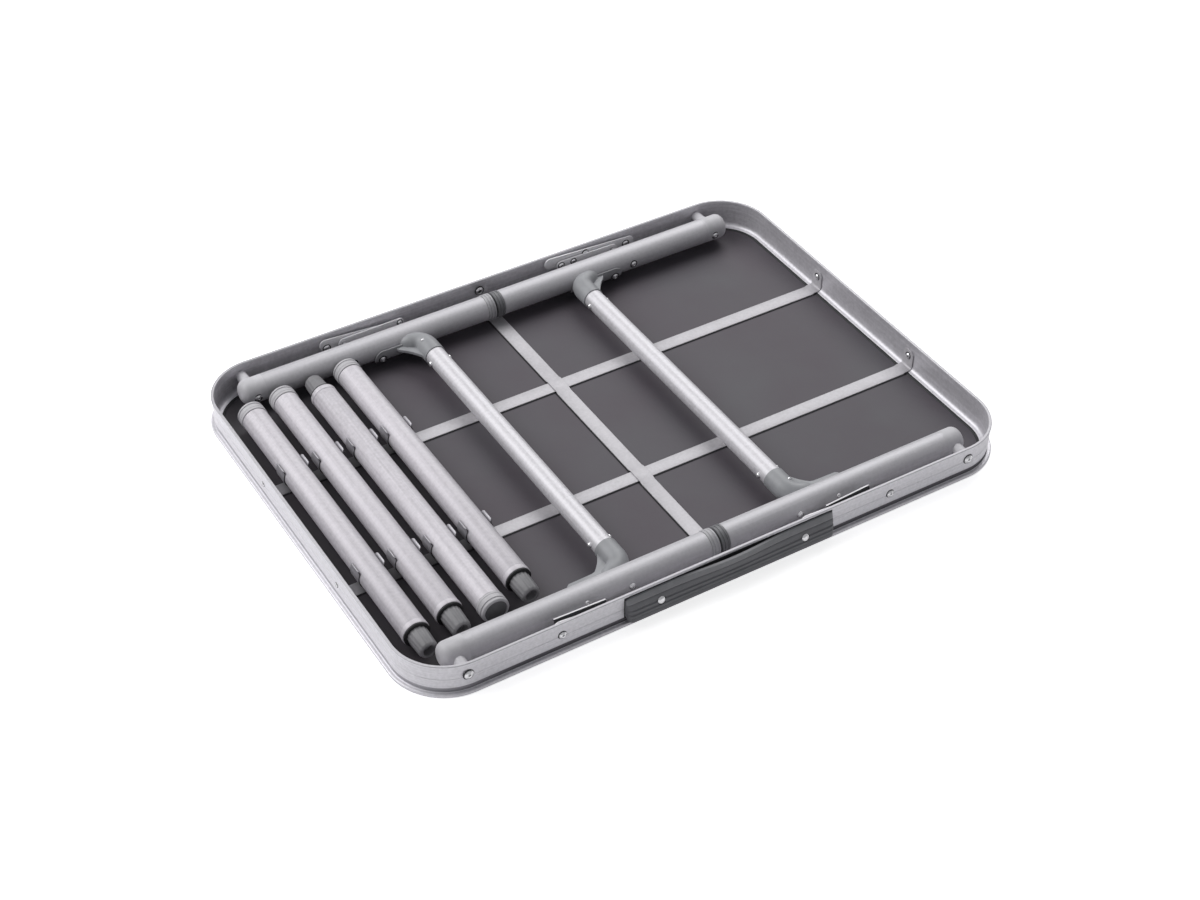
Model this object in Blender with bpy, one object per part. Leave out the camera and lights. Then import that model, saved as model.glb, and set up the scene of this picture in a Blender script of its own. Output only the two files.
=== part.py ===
"""Folding camping table, folded flat and lying on its tabletop.

The script builds every rigid piece of the table as its own object.
Lengths are in metres, X runs along the table, Y across it, Z up.
"""

import math

import bmesh
import bpy
from mathutils import Matrix, Vector

for old in list(bpy.data.objects):
    bpy.data.objects.remove(old, do_unlink=True)

# Clearance between two pieces that touch on the real table.
GAP = 0.0003

# Rim: an aluminium extrusion bent round the board.
WALL_X = 0.3433
WALL_Y = 0.2535
WALL_T = 0.0018
CORNER_R = 0.0572
CORNER_STEPS = 7
RIM_TOP = 0.0373
LIP_IN = 0.006
LIP_T = 0.0006
BEAD_OUT = 0.0040
BEAD_HIGH = 0.0039
BEAD_R = 0.0013
BEAD_FOOT_R = 0.0008
BEAD_STEPS = 4
GROOVE_DEPTH = 0.0009
GROOVE_LOW = 0.0044
GROOVE_HIGH = 0.0094
RIB_DEPTH = 0.0004
RIB_WIDTH = 0.0012
RIB_HEIGHT = 0.0205
TOP_LIP = 0.0007
TOP_LIP_H = 0.0026
FLANGE_IN = 0.0072
FLANGE_T = 0.001
SLOT_IN = 0.001
FILLET_R = 0.0045
FILLET_STEPS = 3

# Board: the tabletop panel held in the slot of the rim.
BOARD_T = 0.0015
BOARD_LOW = LIP_T + GAP
BOARD_TOP = BOARD_LOW + BOARD_T
FLANGE_LOW = BOARD_TOP + GAP
FLANGE_TOP = FLANGE_LOW + FLANGE_T

# Flat straps that brace the board.
STRAP_W = 0.016
STRAP_T = 0.001
STRAP_Y = 0.0837
STRAP_Z = BOARD_TOP + GAP + STRAP_T / 2
STRAP_END_Z = FLANGE_TOP + GAP + STRAP_T / 2
STRAP_OVER_Z = STRAP_Z + STRAP_T + GAP
STRAP_JOGGLE = 0.0035
TAB_TOP = 0.0270
TAB_CHAMFER = 0.0035

# Legs: two tubes and a cross tube in each folding frame.
LEG_R = 0.014
LEG_WALL = 0.0012
LEG_Y = 0.2216
LEG_Z = 0.0225
# The folded frames meet a little left of the middle, as in the photograph.
MEET_X = -0.0039
PIVOT_X = {"left": 0.2925, "right": 0.2855}
LEG_END_X = {"left": 0.3070, "right": 0.3020}
LEG_TUBE_IN = 0.0105
CAP_L = 0.0267
CAP_R = 0.0142
CAP_PLUG_L = 0.018
CAP_BORE_R = 0.0029
FERRULE_R = 0.0147
FERRULE_IN = 0.001
FERRULE_SLEEVE_L = 0.034
SOCKET_R = 0.0106
CROSS_X = 0.0993
CROSS_R = 0.011
CROSS_WALL = 0.0011
CROSS_HALF = 0.1834
ELBOW_R = 0.0121
ELBOW_SPIGOT_L = 0.016
SADDLE_R = 0.016
SADDLE_NEAR = 0.084
SADDLE_FAR = 0.157
SADDLE_HALF_ANGLE = math.radians(58)
WEB_T = 0.0032
WEB_REACH = 0.027
ROUND_STEPS = 16
RIVET_STEPS = 8

# Pivot rivets with a shoulder between the rim wall and the leg.
RIVET_SHANK_R = 0.0025
RIVET_HOLE_R = 0.0029
RIVET_HEAD_R = 0.0052
RIVET_HEAD_T = 0.0016
SHOULDER_R = 0.0068
# The pivot sits inside the corner bend, so the shoulder stops short.
SHOULDER_SHORT = 0.0031

# Locking stays: a wall link and a leg link on each leg.
STAY_WALL_OFF = 0.0990
STAY_LEG_OFF = 0.1185
STAY_WALL_Z = 0.0213
STAY_LEG_Z = 0.0219
LINK_T = 0.0016
LINK_H = 0.0060
LEG_LINK_Y = 0.2448
WALL_LINK_Y = 0.2474
STAY_PIN_R = 0.0022
STAY_HOLE_R = 0.0026
STAY_HEAD_R = 0.0042
STAY_TAIL = 0.028
KNEE_ROUND = 0.0075

# Extension legs, kept in clips on the long straps.
EXT_FIRST_X = -0.3093
EXT_PITCH = 0.0388
# Where each loose leg's foot lies; the one at negative Y is turned round.
EXT_FEET_Y = (0.1895, 0.197, -0.1955, 0.2035)
EXT_R = 0.014
EXT_Z = 0.0220
EXT_LENGTH = 0.372
FOOT_R = 0.0147
FOOT_L = 0.013
PLUG_R = 0.0102
PLUG_OUT = 0.026
PLUG_IN = 0.020
CLIP_IN = EXT_R + GAP
CLIP_OUT = 0.0156
CLIP_LEN = 0.018
CLIP_FOOT = 0.009
CLIP_TOP = 0.0305
CLIP_LOW = BOARD_TOP + GAP + STRAP_T + GAP

# Carry handle on the front wall.
HANDLE_X = -0.0065
HANDLE_HALF = 0.1196
HANDLE_TOP = 0.0336
HANDLE_LOW = 0.0072
HANDLE_BEND = 0.0102
HANDLE_BELLY = 0.0094
HANDLE_EDGE = 0.0032
HANDLE_BOW = 0.0054
HANDLE_BOW_HALF = 0.072
HANDLE_STATIONS = 20
HANDLE_RIVET_X = 0.0834
HANDLE_RIVET_Z = 0.0207


def material(name, colour, roughness, metallic):
    """Make a Principled material from a colour, roughness and metallic value."""
    made = bpy.data.materials.new(name)
    made.use_nodes = True
    shader = made.node_tree.nodes["Principled BSDF"]
    shader.inputs["Base Color"].default_value = (*colour, 1.0)
    shader.inputs["Roughness"].default_value = roughness
    shader.inputs["Metallic"].default_value = metallic
    made.diffuse_color = (*colour, 1.0)
    return made


ALUMINIUM = (0.60, 0.59, 0.62)
BRIGHT = (0.74, 0.74, 0.76)
GREY_PLASTIC = (0.30, 0.31, 0.33)
DARK_PLASTIC = (0.09, 0.09, 0.10)
BOARD_GREY = (0.10, 0.10, 0.105)


def add_object(name, shell, colour, roughness, metallic, smooth=True):
    """Turn a bmesh into a named object with its own material."""
    bmesh.ops.recalc_face_normals(shell, faces=shell.faces)
    mesh = bpy.data.meshes.new(name)
    shell.to_mesh(mesh)
    shell.free()
    mesh.materials.append(material(name + "_finish", colour, roughness, metallic))
    piece = bpy.data.objects.new(name, mesh)
    bpy.context.scene.collection.objects.link(piece)
    if smooth:
        mesh.shade_smooth()
        mesh.set_sharp_from_angle(angle=math.radians(35))
    return piece


def combine(piece, tool, operation):
    """Join a tool to a piece, or cut it out, and drop the tool."""
    change = piece.modifiers.new("change", "BOOLEAN")
    change.solver = "EXACT"
    change.operation = operation
    change.object = tool
    depsgraph = bpy.context.evaluated_depsgraph_get()
    result = bpy.data.meshes.new_from_object(piece.evaluated_get(depsgraph))
    before = piece.data
    piece.modifiers.clear()
    result.name = before.name
    while len(result.materials) > 1:
        result.materials.pop()
    for face in result.polygons:
        face.material_index = 0
    piece.data = result
    bpy.data.meshes.remove(before)
    bpy.data.objects.remove(tool, do_unlink=True)
    result.shade_smooth()
    result.set_sharp_from_angle(angle=math.radians(35))


def joint_axis(name, spot):
    """An empty on a joint's axis, which the pieces of a moving body hang on."""
    axis = bpy.data.objects.new(name, None)
    axis.location = spot
    axis.empty_display_size = LEG_R
    bpy.context.scene.collection.objects.link(axis)
    return axis


def hang(piece, axis):
    """Parent a piece to its joint's empty and leave it where it lies."""
    piece.parent = axis
    piece.matrix_parent_inverse = Matrix.Translation(-axis.location)


def axes_for(direction):
    """Two unit vectors square to a direction, for round sections."""
    along = Vector(direction).normalized()
    helper = Vector((0, 0, 1)) if abs(along.z) < 0.9 else Vector((1, 0, 0))
    first = helper.cross(along).normalized()
    return along, first, along.cross(first)


def lathe(start, direction, profile, hollow, steps=ROUND_STEPS):
    """Spin a profile of (distance, radius) pairs round an axis into a shell."""
    along, first, second = axes_for(direction)
    shell = bmesh.new()
    rings = []
    for distance, radius in profile:
        centre = Vector(start) + along * distance
        ring = []
        for step in range(steps):
            turn = 2 * math.pi * step / steps
            spoke = first * math.cos(turn) + second * math.sin(turn)
            ring.append(shell.verts.new(centre + spoke * radius))
        rings.append(ring)
    pairs = list(zip(rings, rings[1:]))
    if hollow:
        pairs.append((rings[-1], rings[0]))
    for lower, upper in pairs:
        for step in range(steps):
            after = (step + 1) % steps
            shell.faces.new((lower[step], lower[after], upper[after], upper[step]))
    if not hollow:
        shell.faces.new(list(reversed(rings[0])))
        shell.faces.new(rings[-1])
    return shell


def rod(start, direction, length, radius, steps=ROUND_STEPS):
    """A plain round bar as a shell."""
    return lathe(start, direction, [(0, radius), (length, radius)], False, steps)


def tool_object(shell):
    """A helper body for a join or a cut."""
    return add_object("helper", shell, ALUMINIUM, 0.5, 0.0)


def prism(outline, low, high, place):
    """Extrude a closed outline between two distances, placed by a function."""
    shell = bmesh.new()
    bottom = [shell.verts.new(place(u, v, low)) for u, v in outline]
    top = [shell.verts.new(place(u, v, high)) for u, v in outline]
    count = len(outline)
    for index in range(count):
        after = (index + 1) % count
        shell.faces.new((bottom[index], bottom[after], top[after], top[index]))
    shell.faces.new(list(reversed(bottom)))
    shell.faces.new(top)
    return shell


def arc(centre, radius, first, last, steps):
    """Points on an arc, angles in degrees."""
    points = []
    for step in range(steps + 1):
        turn = math.radians(first + (last - first) * step / steps)
        points.append((centre[0] + radius * math.cos(turn), centre[1] + radius * math.sin(turn)))
    return points


def rounded_path(half_x, half_y, radius):
    """Stations round a rounded rectangle as (point, outward) pairs."""
    stations = []
    for quarter, (side_x, side_y) in enumerate(((1, 1), (-1, 1), (-1, -1), (1, -1))):
        centre = Vector((side_x * (half_x - radius), side_y * (half_y - radius), 0))
        for step in range(CORNER_STEPS + 1):
            turn = math.pi / 2 * (quarter + step / CORNER_STEPS)
            outward = Vector((math.cos(turn), math.sin(turn), 0))
            stations.append((centre + outward * radius, outward))
    return stations


def rim_profile():
    """Section of the rim as (outward distance, height) points."""
    points = [(-LIP_IN, 0.0003), (-LIP_IN + 0.0003, 0)]
    points += arc((BEAD_OUT - BEAD_FOOT_R, BEAD_FOOT_R), BEAD_FOOT_R, -90, 0, 2)
    points += arc((BEAD_OUT - BEAD_R, BEAD_HIGH - BEAD_R), BEAD_R, 0, 90, BEAD_STEPS)
    points += [(0, BEAD_HIGH), (-GROOVE_DEPTH, GROOVE_LOW)]
    points += [(-GROOVE_DEPTH, GROOVE_HIGH - GROOVE_DEPTH / 2), (0, GROOVE_HIGH)]
    points += [(0, RIB_HEIGHT - RIB_WIDTH / 2), (-RIB_DEPTH, RIB_HEIGHT), (0, RIB_HEIGHT + RIB_WIDTH / 2)]
    lip_low = RIM_TOP - TOP_LIP_H
    points += [(0, lip_low - TOP_LIP), (TOP_LIP, lip_low), (TOP_LIP, RIM_TOP - TOP_LIP)]
    points += [(0, RIM_TOP), (-WALL_T, RIM_TOP)]
    points += [(-WALL_T - TOP_LIP, RIM_TOP - TOP_LIP), (-WALL_T - TOP_LIP, lip_low)]
    points.append((-WALL_T, lip_low - TOP_LIP))
    centre = (-WALL_T - FILLET_R, FLANGE_TOP + FILLET_R)
    points += arc(centre, FILLET_R, 0, -90, FILLET_STEPS)
    round_edge = FLANGE_T / 3
    points += [(-FLANGE_IN + round_edge, FLANGE_TOP), (-FLANGE_IN, FLANGE_TOP - round_edge)]
    points += [(-FLANGE_IN, FLANGE_LOW), (-SLOT_IN, FLANGE_LOW), (-SLOT_IN, LIP_T)]
    points.append((-LIP_IN, LIP_T))
    return points


def build_rim():
    """Sweep the rim section round the table and drill its rivet holes."""
    shell = bmesh.new()
    rings = []
    for point, outward in rounded_path(WALL_X, WALL_Y, CORNER_R):
        ring = []
        for distance, height in rim_profile():
            ring.append(shell.verts.new(point + outward * distance + Vector((0, 0, height))))
        rings.append(ring)
    size = len(rings[0])
    for index, ring in enumerate(rings):
        following = rings[(index + 1) % len(rings)]
        for spot in range(size):
            after = (spot + 1) % size
            shell.faces.new((ring[spot], ring[after], following[after], following[spot]))
    rim = add_object("rim", shell, ALUMINIUM, 0.35, 1.0)
    holes = []
    for side_x, end in ((-1, "left"), (1, "right")):
        for side_y in (-1, 1):
            stay_x = PIVOT_X[end] - STAY_WALL_OFF
            holes.append((side_x * PIVOT_X[end], side_y, LEG_Z, RIVET_HOLE_R))
            holes.append((side_x * stay_x, side_y, STAY_WALL_Z, STAY_HOLE_R))
        holes.append((HANDLE_X + side_x * HANDLE_RIVET_X, -1, HANDLE_RIVET_Z, STAY_HOLE_R))
    for x, side_y, z, radius in holes:
        start = (x, side_y * (WALL_Y - 3 * WALL_T), z)
        drill = tool_object(rod(start, (0, side_y, 0), 6 * WALL_T, radius, RIVET_STEPS))
        combine(rim, drill, "DIFFERENCE")
    return rim


def build_board():
    """The tabletop panel, a rounded plate inside the rim slot."""
    inset = SLOT_IN + GAP
    outline = []
    for point, outward in rounded_path(WALL_X, WALL_Y, CORNER_R):
        spot = point - outward * inset
        outline.append((spot.x, spot.y))
    place = lambda u, v, height: Vector((u, v, height))
    return add_object("board", prism(outline, BOARD_LOW, BOARD_TOP, place), BOARD_GREY, 0.7, 0.0)


def ribbon(path, width, along_x):
    """A flat strap that follows a path of (distance, height, width share)."""
    shell = bmesh.new()
    rows = []
    count = len(path)
    for index, (distance, height, share) in enumerate(path):
        before = Vector(path[max(index - 1, 0)][:2])
        here = Vector((distance, height))
        after = Vector(path[min(index + 1, count - 1)][:2])
        normals = []
        for edge in (here - before, after - here):
            if edge.length > 0:
                edge.normalize()
                normals.append(Vector((-edge.y, edge.x)))
        normal = sum(normals, Vector((0, 0))).normalized()
        offset = normal * (STRAP_T / 2) / normal.dot(normals[0])
        row = []
        for side, skin in ((-1, -1), (1, -1), (1, 1), (-1, 1)):
            spot = here + offset * skin
            across = side * width / 2 * share
            if along_x:
                row.append(shell.verts.new((spot.x, across, spot.y)))
            else:
                row.append(shell.verts.new((across, spot.x, spot.y)))
        rows.append(row)
    for row, following in zip(rows, rows[1:]):
        for corner in range(4):
            after = (corner + 1) % 4
            shell.faces.new((row[corner], row[after], following[after], following[corner]))
    shell.faces.new(list(reversed(rows[0])))
    shell.faces.new(rows[-1])
    return shell


def strap_end(wall):
    """Path of a strap end from the middle of the board up the wall."""
    fillet = FILLET_R - GAP - STRAP_T / 2
    centre_x = wall - WALL_T - FILLET_R
    step_x = wall - FLANGE_IN - STRAP_JOGGLE
    points = [(step_x - STRAP_JOGGLE, STRAP_Z, 1.0), (step_x, STRAP_END_Z, 1.0)]
    for x, z in arc((centre_x, FLANGE_TOP + FILLET_R), fillet, -90, 0, FILLET_STEPS):
        points.append((x, z, 1.0))
    chamfer_share = 1 - 2 * TAB_CHAMFER / STRAP_W
    points.append((centre_x + fillet, TAB_TOP - TAB_CHAMFER, 1.0))
    points.append((centre_x + fillet, TAB_TOP, chamfer_share))
    return points


def mirrored(points):
    """The same path on the other side, in the opposite order."""
    return [(-x, z, share) for x, z, share in reversed(points)]


def build_straps():
    """Two long straps and the cross strap stepped over them."""
    for name, side in (("strap_long_front", -1), ("strap_long_back", 1)):
        end = strap_end(WALL_X)
        shell = ribbon(mirrored(end) + end, STRAP_W, True)
        bmesh.ops.translate(shell, verts=shell.verts, vec=(0, side * STRAP_Y, 0))
        add_object(name, shell, BRIGHT, 0.32, 1.0)
    over = STRAP_W / 2 + 3 * GAP
    bridge = [(STRAP_Y - over - STRAP_JOGGLE, STRAP_Z, 1.0), (STRAP_Y - over, STRAP_OVER_Z, 1.0)]
    bridge += [(STRAP_Y + over, STRAP_OVER_Z, 1.0), (STRAP_Y + over + STRAP_JOGGLE, STRAP_Z, 1.0)]
    half = bridge + strap_end(WALL_Y)
    add_object("strap_cross", ribbon(mirrored(half) + half, STRAP_W, False), BRIGHT, 0.32, 1.0)


def build_clips():
    """Eight open clips that hold the extension legs on the long straps."""
    for number in range(len(EXT_FEET_Y)):
        x = EXT_FIRST_X + number * EXT_PITCH
        for row, side in (("front", -1), ("back", 1)):
            lift = math.degrees(math.acos(CLIP_FOOT / CLIP_OUT))
            flare = CLIP_OUT - CLIP_IN
            outline = [(-CLIP_FOOT, CLIP_LOW - EXT_Z), (CLIP_FOOT, CLIP_LOW - EXT_Z)]
            outline += arc((0, 0), CLIP_OUT, -lift, 0, 3)
            outline += [(CLIP_OUT, CLIP_TOP - EXT_Z), (CLIP_IN + flare / 2, CLIP_TOP - EXT_Z + flare)]
            outline.append((CLIP_IN, CLIP_TOP - EXT_Z))
            outline += arc((0, 0), CLIP_IN, 0, -180, 9)
            outline += [(-CLIP_IN, CLIP_TOP - EXT_Z), (-CLIP_IN - flare / 2, CLIP_TOP - EXT_Z + flare)]
            outline.append((-CLIP_OUT, CLIP_TOP - EXT_Z))
            outline += arc((0, 0), CLIP_OUT, 180, 180 + lift, 3)
            place = lambda u, v, depth: Vector((x + u, side * STRAP_Y + depth, EXT_Z + v))
            shell = prism(outline, -CLIP_LEN / 2, CLIP_LEN / 2, place)
            add_object(f"clip_{number + 1}_{row}", shell, GREY_PLASTIC, 0.5, 0.0)


def build_extension_legs():
    """Four loose legs: a tube, a wide foot and a narrow plug each."""
    for number, foot_y in enumerate(EXT_FEET_Y):
        x = EXT_FIRST_X + number * EXT_PITCH
        heading = -1 if foot_y > 0 else 1
        start = (x, foot_y, EXT_Z)
        slide = joint_axis(f"extension_leg_{number + 1}_slide", start)
        along = (0, heading, 0)
        inner = EXT_R - LEG_WALL
        wall = [(FOOT_L + GAP, EXT_R), (EXT_LENGTH, EXT_R), (EXT_LENGTH, inner), (FOOT_L + GAP, inner)]
        shell = lathe(start, along, wall, True)
        tube = add_object(f"extension_tube_{number + 1}", shell, ALUMINIUM, 0.3, 1.0)
        hang(tube, slide)
        bevel = FOOT_R / 6
        groove = FOOT_L * 0.62
        foot = [(0, FOOT_R - bevel), (bevel / 2, FOOT_R)]
        foot += [(groove, FOOT_R), (groove, FOOT_R - bevel / 2), (groove + bevel / 2, FOOT_R - bevel / 2)]
        foot += [(groove + bevel / 2, FOOT_R), (FOOT_L, FOOT_R)]
        foot += [(FOOT_L, inner - GAP), (2 * FOOT_L, inner - GAP)]
        shell = lathe(start, along, foot, False)
        hang(add_object(f"extension_foot_{number + 1}", shell, GREY_PLASTIC, 0.55, 0.0), slide)
        collar = EXT_LENGTH + GAP
        tip = EXT_LENGTH + PLUG_OUT
        chamfer = PLUG_R / 7
        recess = PLUG_R * 0.62
        plug = [(EXT_LENGTH - PLUG_IN, inner - GAP - chamfer), (EXT_LENGTH - PLUG_IN, inner - GAP)]
        plug += [(collar, inner - GAP), (collar, EXT_R - chamfer / 2), (collar + chamfer, EXT_R - chamfer / 2)]
        plug += [(collar + chamfer, PLUG_R), (tip - chamfer, PLUG_R - chamfer / 3), (tip, PLUG_R - chamfer)]
        plug += [(tip, recess), (tip - 4 * chamfer, recess - chamfer / 2)]
        shell = lathe(start, along, plug, False)
        hang(add_object(f"extension_plug_{number + 1}", shell, DARK_PLASTIC, 0.55, 0.0), slide)


def stay_points(side_x, end):
    """Wall pivot, leg pin and knee of a folded stay, as (x, z) vectors."""
    pivot_x = PIVOT_X[end]
    wall = Vector((pivot_x - STAY_WALL_OFF, STAY_WALL_Z))
    pin = Vector((pivot_x - STAY_LEG_OFF, STAY_LEG_Z))
    raised = Vector((pivot_x + STAY_LEG_Z - LEG_Z, LEG_Z + STAY_LEG_OFF))
    folded_span = (pin - wall).length
    open_span = (raised - wall).length
    wall_link = (open_span + folded_span) / 2
    knee = wall + (pin - wall).normalized() * wall_link
    flip = Vector((side_x, 1))
    return tuple(Vector((spot.x * flip.x, spot.y)) for spot in (wall, pin, knee))


def capsule(first, last, first_r, last_r):
    """Outline of a link plate with two round ends."""
    along = (last - first).normalized()
    heading = math.degrees(math.atan2(along.y, along.x))
    lean = math.degrees(math.asin((first_r - last_r) / (last - first).length))
    outline = arc(first, first_r, heading + 90 - lean, heading + 270 + lean, 8)
    outline += arc(last, last_r, heading - 90 + lean, heading + 90 - lean, 8)
    return outline


def build_stays(side_x, side_y, end, label):
    """The two links of one locking stay, each with its own rivets."""
    wall, pin, knee = stay_points(side_x, end)
    wall_axis = joint_axis(f"wall_link_{label}_axis", (wall.x, side_y * WALL_LINK_Y, wall.y))
    leg_axis = joint_axis(f"leg_link_{label}_axis", (pin.x, side_y * LEG_LINK_Y, pin.y))
    place = lambda u, v, depth: Vector((u, side_y * depth, v))
    out = (0, side_y, 0)
    back = (0, -side_y, 0)
    tail = knee + (knee - wall).normalized() * STAY_TAIL
    shell = prism(capsule(wall, tail, KNEE_ROUND, KNEE_ROUND), WALL_LINK_Y, WALL_LINK_Y + LINK_T, place)
    link = add_object(f"wall_link_{label}", shell, BRIGHT, 0.3, 1.0)
    post_start = (wall.x, side_y * (WALL_LINK_Y + LINK_T / 2), wall.y)
    face = WALL_Y - WALL_T - GAP - WALL_LINK_Y - LINK_T / 2
    through = WALL_Y + GAP - WALL_LINK_Y - LINK_T / 2
    post = [(0, STAY_HEAD_R), (face, STAY_HEAD_R), (face, STAY_PIN_R), (through, STAY_PIN_R)]
    post += [(through, STAY_HEAD_R), (through + STAY_PIN_R / 3, STAY_HEAD_R)]
    post.append((through + STAY_PIN_R / 2, STAY_PIN_R))
    combine(link, tool_object(lathe(post_start, out, post, False, RIVET_STEPS)), "UNION")
    catch = knee + (wall - knee).normalized() * STAY_TAIL
    catch_box = [(catch.x - LINK_H / 2, catch.y), (catch.x + LINK_H / 2, catch.y)]
    catch_box += [(catch.x + LINK_H / 2, catch.y + KNEE_ROUND + LINK_T)]
    catch_box += [(catch.x - LINK_H / 2, catch.y + KNEE_ROUND + LINK_T)]
    shell = prism(catch_box, WALL_LINK_Y + LINK_T / 4, WALL_LINK_Y + 2 * LINK_T, place)
    combine(link, tool_object(shell), "UNION")
    hang(link, wall_axis)

    shell = prism(capsule(pin, knee, LINK_H + LINK_T, LINK_H), LEG_LINK_Y, LEG_LINK_Y + LINK_T, place)
    link = add_object(f"leg_link_{label}", shell, BRIGHT, 0.3, 1.0)
    pin_start = (pin.x, side_y * (LEG_LINK_Y + LINK_T / 2), pin.y)
    tube_near = LEG_LINK_Y + LINK_T / 2 - LEG_Y - LEG_R
    tube_far = tube_near + 2 * LEG_R
    post = [(0, STAY_HEAD_R), (tube_near - GAP, STAY_HEAD_R), (tube_near - GAP, STAY_PIN_R)]
    post += [(tube_far + GAP, STAY_PIN_R), (tube_far + GAP, STAY_HEAD_R)]
    post += [(tube_far + STAY_PIN_R / 2, STAY_HEAD_R), (tube_far + STAY_PIN_R, STAY_PIN_R)]
    combine(link, tool_object(lathe(pin_start, back, post, False, RIVET_STEPS)), "UNION")
    knee_start = (knee.x, side_y * (LEG_LINK_Y + LINK_T / 2), knee.y)
    stub_length = WALL_LINK_Y - GAP - LEG_LINK_Y - LINK_T / 2
    combine(link, tool_object(rod(knee_start, out, stub_length, STAY_HEAD_R, RIVET_STEPS)), "UNION")
    hang(link, leg_axis)


def build_leg(side_x, side_y, end, label, fold):
    """One leg tube with its pivot cap, foot ferrule and pivot rivet."""
    inner = LEG_R - LEG_WALL
    start = (MEET_X, side_y * LEG_Y, LEG_Z)
    along = (side_x, 0, 0)
    tube_out = LEG_END_X[end] - side_x * MEET_X - CAP_L
    tube = [(LEG_TUBE_IN, LEG_R), (tube_out, LEG_R), (tube_out, inner), (LEG_TUBE_IN, inner)]
    leg = add_object(f"leg_tube_{label}", lathe(start, along, tube, True), ALUMINIUM, 0.3, 1.0)
    hole_x = side_x * (PIVOT_X[end] - STAY_LEG_OFF)
    hole_start = (hole_x, side_y * (LEG_Y - 2 * LEG_R), STAY_LEG_Z)
    combine(leg, tool_object(rod(hole_start, (0, side_y, 0), 4 * LEG_R, STAY_HOLE_R, RIVET_STEPS)), "DIFFERENCE")
    hang(leg, fold)

    collar = tube_out + GAP
    dome = CAP_L - GAP - CAP_R
    cap = [(tube_out - CAP_PLUG_L, inner - GAP), (collar, inner - GAP), (collar, CAP_R)]
    for turn in range(0, 90, 18):
        angle = math.radians(turn)
        cap.append((collar + dome + CAP_R * math.sin(angle), CAP_R * math.cos(angle)))
    cover = add_object(f"pivot_cap_{label}", lathe(start, along, cap, False), GREY_PLASTIC, 0.5, 0.0)
    hole_start = (side_x * PIVOT_X[end], side_y * (LEG_Y - 2 * LEG_R), LEG_Z)
    combine(cover, tool_object(rod(hole_start, (0, side_y, 0), 4 * LEG_R, CAP_BORE_R, RIVET_STEPS)), "DIFFERENCE")
    hang(cover, fold)

    band = (LEG_TUBE_IN - FERRULE_IN) / 3
    low = FERRULE_R - band / 5
    first = FERRULE_IN
    ring = [(first, SOCKET_R + band / 4), (first, low), (first + band / 5, FERRULE_R)]
    ring += [(first + band, FERRULE_R), (first + 1.2 * band, low)]
    ring += [(first + 1.8 * band, low), (first + 2 * band, FERRULE_R)]
    stop = LEG_TUBE_IN - GAP
    ring += [(stop, FERRULE_R), (stop, inner - GAP), (stop + FERRULE_SLEEVE_L, inner - GAP)]
    ring += [(stop + FERRULE_SLEEVE_L, SOCKET_R), (first + band / 4, SOCKET_R)]
    ferrule = add_object(f"foot_ferrule_{label}", lathe(start, along, ring, True), DARK_PLASTIC, 0.5, 0.0)
    hang(ferrule, fold)

    face = LEG_Y + CAP_R + GAP
    wall_in = WALL_Y - WALL_T - GAP - SHOULDER_SHORT
    wall_out = WALL_Y + GAP
    tail = LEG_Y - CAP_R - GAP
    start = (side_x * PIVOT_X[end], 0, LEG_Z)
    head = wall_out + RIVET_HEAD_T
    rivet = [(tail - RIVET_HEAD_T, RIVET_SHANK_R), (tail - RIVET_HEAD_T / 2, RIVET_HEAD_R)]
    rivet += [(tail, RIVET_HEAD_R), (tail, RIVET_SHANK_R), (face, RIVET_SHANK_R)]
    rivet += [(face, SHOULDER_R), (wall_in, SHOULDER_R), (wall_in, RIVET_SHANK_R)]
    rivet += [(wall_out, RIVET_SHANK_R), (wall_out, RIVET_HEAD_R)]
    rivet += [(head - RIVET_HEAD_T / 2, RIVET_HEAD_R), (head, RIVET_SHANK_R)]
    shell = lathe(start, (0, side_y, 0), rivet, False, RIVET_STEPS)
    add_object(f"pivot_rivet_{label}", shell, BRIGHT, 0.28, 1.0)


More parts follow.
